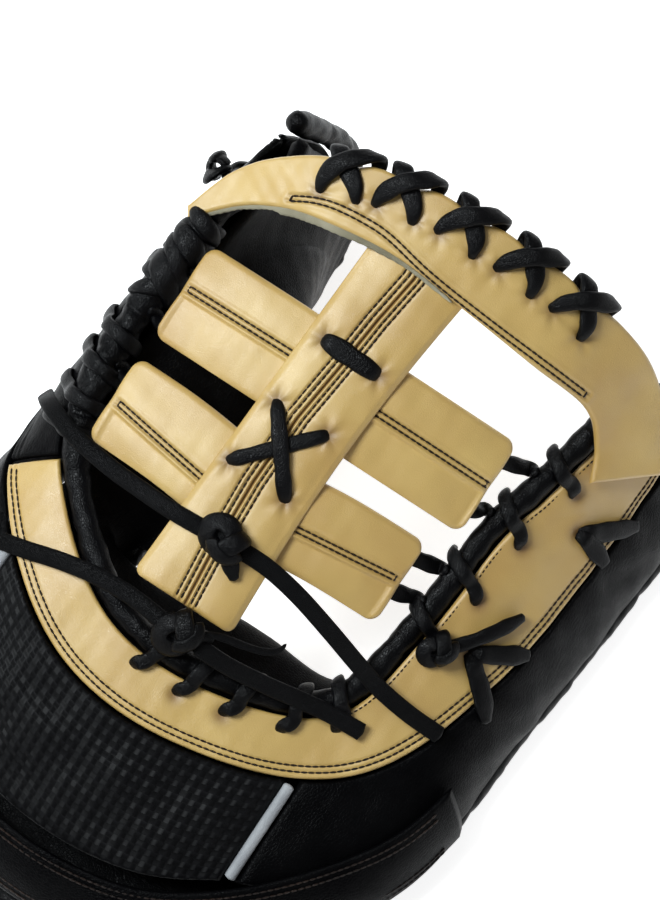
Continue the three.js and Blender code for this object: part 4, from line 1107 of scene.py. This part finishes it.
def share_at(y, side):
    """The share round the opening at a height of the web, on the thumb side or the finger side."""
    shares = np.linspace(0.0 if side == "thumb" else 1.0, 0.48, 4000)
    return shares[np.abs(opening_edge(shares)[:, 1] - y).argmin()]


tie_parts = []
for i, (bar, side, y) in enumerate(TIES):
    share = share_at(y, side)
    end = BAR_START + (BARS[bar]["length"] if side == "thumb" else 0.0)
    inward = -1 if side == "thumb" else 1
    edge = opening_edge(share)
    away = outward(share)
    points = [(end + inward * 9, y, arch(end + inward * 9) + UNDER_BAR),
              (end + inward, y, arch(end) + UNDER_BAR + 0.4),
              edge - away * (WEB_ROLL / 2 + 2.0) + [0, 1.5, 1.2],
              edge - away * 3.2 + OUT_OF_WEB * (WEB_ROLL / 2 + 0.6) + [0, 2.6, 0]]
    ups = [OUT_OF_WEB, OUT_OF_WEB, unit(OUT_OF_WEB - away * 0.7), unit(OUT_OF_WEB - away * 0.6)]
    tie_parts.append(lace(np.array(points), ups, width=6.2, seed=20 + i))
piece("bar_ties", tie_parts, black_lace, [f"bar_tie_{i + 1}" for i in range(len(TIES))])


def post_strip(start, end, bow, width, seed):
    """A lace over the post from hole to hole, bowed up in the middle and dipping into the holes."""
    heights = ((-0.03, -3.2), (0.06, -0.3), (0.25, bow * 0.7), (0.5, bow), (0.75, bow * 0.7), (0.94, -0.3),
               (1.03, -3.2))
    points = []
    for k, height in heights:
        x, y = start + (end - start) * k
        points.append((x, y, arch(x) + ON_POST + height))
    return lace(points, OUT_OF_WEB, width=width, seed=seed)


post_bar = post_strip(*POST_HOLES[0:2], 0.7, 7.4, 31)
post_cross = [post_strip(*POST_HOLES[2:4], 0.5, 5.6, 32), post_strip(*POST_HOLES[4:6], 2.6, 5.8, 33)]
piece("post_bar_lace", [post_bar], black_lace, ["post_lace_bar"])
piece("post_cross_lace", post_cross, black_lace, ["post_lace_cross"])

# Drift along the edge and distance in from it, both in mm, the turn round the edge in degrees, and the height
RIM_UNDER = [(5.6, 14.2, 90, -3.4), (5.3, 12.8, 90, -0.8), (4.0, 9.0, 90, 0.4), (1.0, 5.0, 90, 0.2),
             (-2.2, 1.5, 88, 0.2), (-4.6, -0.3, 55, 0.0), (-5.8, -0.3, 0, 0.0), (-6.2, 0.8, -60, 0.0),
             (-6.4, 5.0, -90, 0.0)]
RIM_OVER = [(-10.4, 13.0, 90, -3.4), (-9.8, 11.6, 90, -0.8), (-8.2, 8.6, 90, 1.0), (-5.0, 4.8, 90, 2.6),
            (-1.0, 2.2, 84, 3.2), (3.2, 0.9, 68, 2.2), (6.6, 0.2, 35, 1.0), (8.4, 0.2, -20, 0.2),
            (9.0, 2.0, -70, 0.0), (9.2, 6.0, -90, 0.0)]


def rim_strip(share, rows, seed):
    """A lace from a hole in the rim over its outer edge, through its row of places."""
    points, ups = [], []
    for drift, inward, turn, height in rows:
        local = rim_share(share, drift)
        normal = rim_normal(local, 1.0)
        outside = unit(np.cross(normal, rim_at(local + 0.01, 1.0) - rim_at(local - 0.01, 1.0)))
        way = outside * np.cos(np.radians(turn)) + normal * np.sin(np.radians(turn))
        points.append(rim_at(local, 1.0) - outside * inward + way * (ON_RIM + height))
        ups.append(way)
    return lace(points, ups, width=7.0, thick=2.7, seed=seed, taper=6.0, pinch=0.55)


rim_parts = []
for i, share in enumerate(RIM_LACE_SHARES):
    rim_parts += [rim_strip(share, RIM_UNDER, 40 + i), rim_strip(share, RIM_OVER, 50 + i)]
piece("rim_laces", rim_parts, black_lace, [f"rim_lace_{i + 1}" for i in range(5)])

# The far ends of the two laces that leave each hole of the thumb panel, as a share and a distance out
THUMB_LACE_ENDS = [[(0.314, 40), (0.347, 42)], [(0.203, 48), (0.252, 46)]]


def back_strip(start, end, height, width, seed, ease=0.0):
    """A flat lace over the back between two places, each a share round the opening and a distance out."""
    k = np.linspace(0, 1, 7)
    share = start[0] + (end[0] - start[0]) * k
    run = run_at(share, start[1] + (end[1] - start[1]) * k)
    rise = height + ease * np.sin(np.pi * k)
    rise[0] -= 2.6
    return lace(on_back(share, run, rise), back_normal(share, run), width=width, seed=seed)


for i, (hole, ends) in enumerate(zip(THUMB_LACE_HOLES, THUMB_LACE_ENDS)):
    strips = [back_strip(hole, end, ON_PANEL + 0.4 * k, 7.4, 60 + 2 * i + k) for k, end in enumerate(ends)]
    piece(f"thumb_side_lace_{i + 1}", strips, black_lace, [f"thumb_lace_{i + 1}"])

# The knots: each is the rawhide lace itself, with a short flat end.
# It is tied over and under once and pulled tight on the leather under it.
WEB_KNOTS = {
    "upper": {"x": -12.5, "y": -48.6, "z": WEB_LEATHER / 2 + GAP + 4.6, "slant": (1.0, -0.35, 0.0),
              "end": (8.0, -7.5, -2.5)},
    "lower": {"x": -8.0, "y": -84.6, "z": 5.0 - WEB_LEATHER / 2, "slant": (0.6, 0.8, 0.0),
              "end": (8.5, 3.5, -2.0)},
}
PANEL_KNOTS = {
    "thumb": {"place": THUMB_KNOT_HOLE, "rise": 3.6, "tail": (0.300, 29.0)},
    "finger": {"place": (0.885, 17.0), "rise": 5.04, "tail": (0.895, 32.0)},
}
THIN_END = np.array([(-2.5, -80.5, 3.2), (6.0, -77.6, 3.0), (13.6, -76.0, 1.8), (20.5, -74.0, 0.6),
                     (24.6, -71.0, -0.6), (25.6, -67.5, -1.6)])

# Suede-grained rawhide lace: its flesh side is buffed, so it is duller and greyer than the waxed lace.
suede_lace = grained("suede_grained_rawhide_lace", "#030304", "#0A0A0C", rough=0.52, pore=0.6, bump=0.9,
                     crease=1.0, gloss=0.12)


def tied(centre, ways, size, width, seed):
    """A pulled knot: a strand below, a ring that lies flat, ahead·cos a + across·sin a, a band over it,
    across·cos b + normal·sin b, and a half turn on top, each the lace with its face turned outwards."""
    ahead, across, normal = ways
    a = np.radians(np.linspace(30, 330, 15))[:, None]
    round_it = ahead * np.cos(a) + across * 0.9 * np.sin(a)
    ring = centre + round_it * (size / 2 - 3.4) + normal * (1.6 * np.cos(a / 2) - 1.2) - ahead * size * 0.12
    b = np.radians(np.linspace(-35, 215, 13))[:, None]
    over_it = across * np.cos(b) * size * 0.36 + normal * np.sin(b) * size * 0.27
    band = centre + over_it + ahead * (size * 0.14 + 1.6 * np.cos(b)) - normal * 0.8
    c = np.radians(np.linspace(-20, 150, 9))[:, None]
    turn = centre + (ahead * np.cos(c) - across * np.sin(c) * 0.8) * size * 0.33
    turn = turn + normal * (size * 0.12 + 1.4 * np.sin(c)) + ahead * 1.5
    turn_face = unit(normal + 0.5 * (ahead * np.cos(c) - across * np.sin(c)))
    below = centre + ahead * np.linspace(-0.34, 0.34, 5)[:, None] * size - normal * 2.0
    # Each strand's points, its face, its width and thickness over the lace's, and its draw
    strands = ((below, normal, 1.3, 1.0, 3), (ring, unit(normal + 0.5 * round_it), 1.25, 1.1, 0),
               (band, unit(over_it), 1.1, 1.1, 1), (turn, turn_face, 0.9, 1.0, 2))
    return [lace(points, face, width=width * wide, thick=LACE_THICK * thick, seed=seed + draw, pinch=0.1)
            for points, face, wide, thick, draw in strands]


def frame_of(normal, ahead):
    """Three directions as rows: ahead in the face, across it, and its normal."""
    normal = unit(np.asarray(normal, float))
    ahead = unit(ahead - normal * (ahead @ normal))
    return np.stack([ahead, np.cross(normal, ahead), normal])


for name, knot in WEB_KNOTS.items():
    centre = np.array([knot["x"], knot["y"], arch(knot["x"]) + knot["z"]])
    ways = frame_of((0.05, -0.1, 1.0), np.array(knot["slant"]))
    end = np.array(knot["end"])
    flat_end = np.array([centre, centre + end * 0.6 + [0, 0, 1.2], centre + end * 1.35])
    end_made = lace(flat_end, unit(np.array([0.2, -0.2, 1.0])), width=6.2, seed=72)
    piece(name + "_lace_knot", [*tied(centre, ways, 17.0, 6.0, 71), end_made], black_lace,
          [name + "_knot"])
thin_face = unit(np.array([0.0, 0.3, 1.0]))
piece("lower_thin_lace", [lace(THIN_END, thin_face, width=2.8, thick=1.8, seed=97, pinch=0.6)],
      suede_lace)
for name, knot in PANEL_KNOTS.items():
    share, out = knot["place"]
    run = run_at(share, out)
    centre = on_back(share, run, ON_PANEL + knot["rise"])
    tail_end = on_back(knot["tail"][0], run_at(*knot["tail"]), 0.0)
    ways = frame_of(back_normal(share, run), tail_end - centre)
    tail = back_strip(knot["place"], knot["tail"], ON_PANEL, 5.4, 82, ease=2.0)
    piece(name + "_lace_knot", [*tied(centre, ways, 13.5, 5.0, 81), tail], black_lace,
          [name + "_knot"])

# The free laces: the two ends of the crotch lacing, of suede-grained rawhide, left long by the maker.
# They lie across the web, over the edge and along the back.
FREE_LACES = {
    "upper_lace": [(-19.2, -49.2, 3.6), (-33, -50, 1.9), (-45, -50, -2.5), (-60, -49.5, -7.5),
                   (-75, -47.5, -11.5), (-85, -45, -15.5), (-92, -42.5, -22), (-95.5, -41, -33)],
    "upper_tail": [(-5.8, -48.4, 3.6), (6, -48.6, 3.1), (20, -51, 2.4), (36, -55.5, -2), (50, -60, -9),
                   (62, -63.5, -14.6), (76, -65.5, -16.6), (90, -66, -18.6)],
    "lower_lace": [(-15.4, -84.2, 2.4), (-24, -83.4, 0), (-34, -83.2, -3), (-46, -84.4, -6),
                   (-58, -87, -10.3), (-70, -90.5, -14.2), (-80, -93, -18.2)],
    "lower_tail": [(-0.6, -85, 2.4), (12, -85.2, 0.6), (26, -84, -4.2), (40, -82, -9.2), (52, -80.6, -13),
                   (66, -80, -15.8)],
}
for name, route in FREE_LACES.items():
    path = dense(route, 0.8)
    made = piece(name + "_free", [carried(path, OUT_OF_WEB, LACE_WIDTH, LACE_THICK, sides=18, close=0.8)],
                 suede_lace, [name])

# The studio: a white paper floor that glows a little, as if lit from behind, in a pale room.
# A small cool light from the upper left is the key, a wide fill stands to the right, and a warm one above.
FLOOR_HALF = 4.0
FLOOR_GLOW = 0.8
ROOM_LIGHT = 0.22
WARM = (1.0, 0.98, 0.95)
COOL = (0.90, 0.97, 1.0)
# Each light's place to the right, up and near in metres, its size in metres, its power in watts and colour
LIGHTS = {
    "key": {"place": (-0.74, 0.46, 1.15), "size": 0.7, "power": 23.0, "colour": COOL},
    "fill": {"place": (1.3, -0.4, 1.0), "size": 1.4, "power": 0.8, "colour": WARM},
    "top": {"place": (-0.5, 0.9, 1.7), "size": 1.0, "power": 4.0, "colour": WARM},
}
IMAGE_TURN = np.radians(33.0)
CAMERA_REACH = 1.316
CAMERA_LENS = 150.0
CAMERA_SENSOR = 36.0
IMAGE_DROP = 0.00246

# Matt white paper: it has no gloss, and its glow takes the shadows out of the ground.
white_paper = bpy.data.materials.new("matt_white_paper")
white_paper.use_nodes = True
paper_inputs = white_paper.node_tree.nodes["Principled BSDF"].inputs
paper_inputs["Base Color"].default_value = linear("#F7F7F7")
paper_inputs["Roughness"].default_value = 0.9
paper_inputs["Emission Color"].default_value = linear("#FFFFFF")
paper_inputs["Emission Strength"].default_value = FLOOR_GLOW
floor_mesh = bpy.data.meshes.new("paper_floor")
floor_corners = [(-FLOOR_HALF, -FLOOR_HALF, 0), (FLOOR_HALF, -FLOOR_HALF, 0), (FLOOR_HALF, FLOOR_HALF, 0),
                 (-FLOOR_HALF, FLOOR_HALF, 0)]
floor_mesh.from_pydata(floor_corners, [], [(0, 1, 2, 3)])
floor_mesh.materials.append(white_paper)
floor = bpy.data.objects.new("paper_floor", floor_mesh)
bpy.context.collection.objects.link(floor)

image_right = np.cos(IMAGE_TURN) * WEB_AXES[0] + np.sin(IMAGE_TURN) * WEB_AXES[1]
image_up = -np.sin(IMAGE_TURN) * WEB_AXES[0] + np.cos(IMAGE_TURN) * WEB_AXES[1]
to_camera = WEB_AXES[2]
web_centre = placed([0.0, 0.0, 0.0]) - IMAGE_DROP * image_up


def looking(position, target, up):
    """A matrix at a position whose -Z points at the target."""
    back = unit(position - target)
    right = unit(np.cross(up, back))
    matrix = np.eye(4)
    matrix[:3] = np.column_stack([right, np.cross(back, right), back, position])
    return Matrix(matrix.tolist())


camera_data = bpy.data.cameras.new("camera")
camera_data.lens = CAMERA_LENS
camera_data.sensor_width = CAMERA_SENSOR
camera = bpy.data.objects.new("camera", camera_data)
camera.matrix_world = looking(web_centre + CAMERA_REACH * to_camera, web_centre, image_up)
bpy.context.collection.objects.link(camera)
bpy.context.scene.camera = camera

for name, row in LIGHTS.items():
    light = bpy.data.lights.new(name + "_softbox", "AREA")
    light.shape = "DISK"
    light.size = row["size"]
    light.energy = row["power"]
    light.color = row["colour"]
    lamp = bpy.data.objects.new(name + "_softbox", light)
    lamp_place = web_centre + np.array(row["place"]) @ np.array([image_right, image_up, to_camera])
    lamp.matrix_world = looking(lamp_place, web_centre, image_up)
    bpy.context.collection.objects.link(lamp)
world = bpy.data.worlds.new("pale_room")
world.use_nodes = True
world.node_tree.nodes["Background"].inputs["Color"].default_value = linear("#F4F6F8")
world.node_tree.nodes["Background"].inputs["Strength"].default_value = ROOM_LIGHT
bpy.context.scene.world = world
bpy.context.scene.view_settings.view_transform = "Standard"
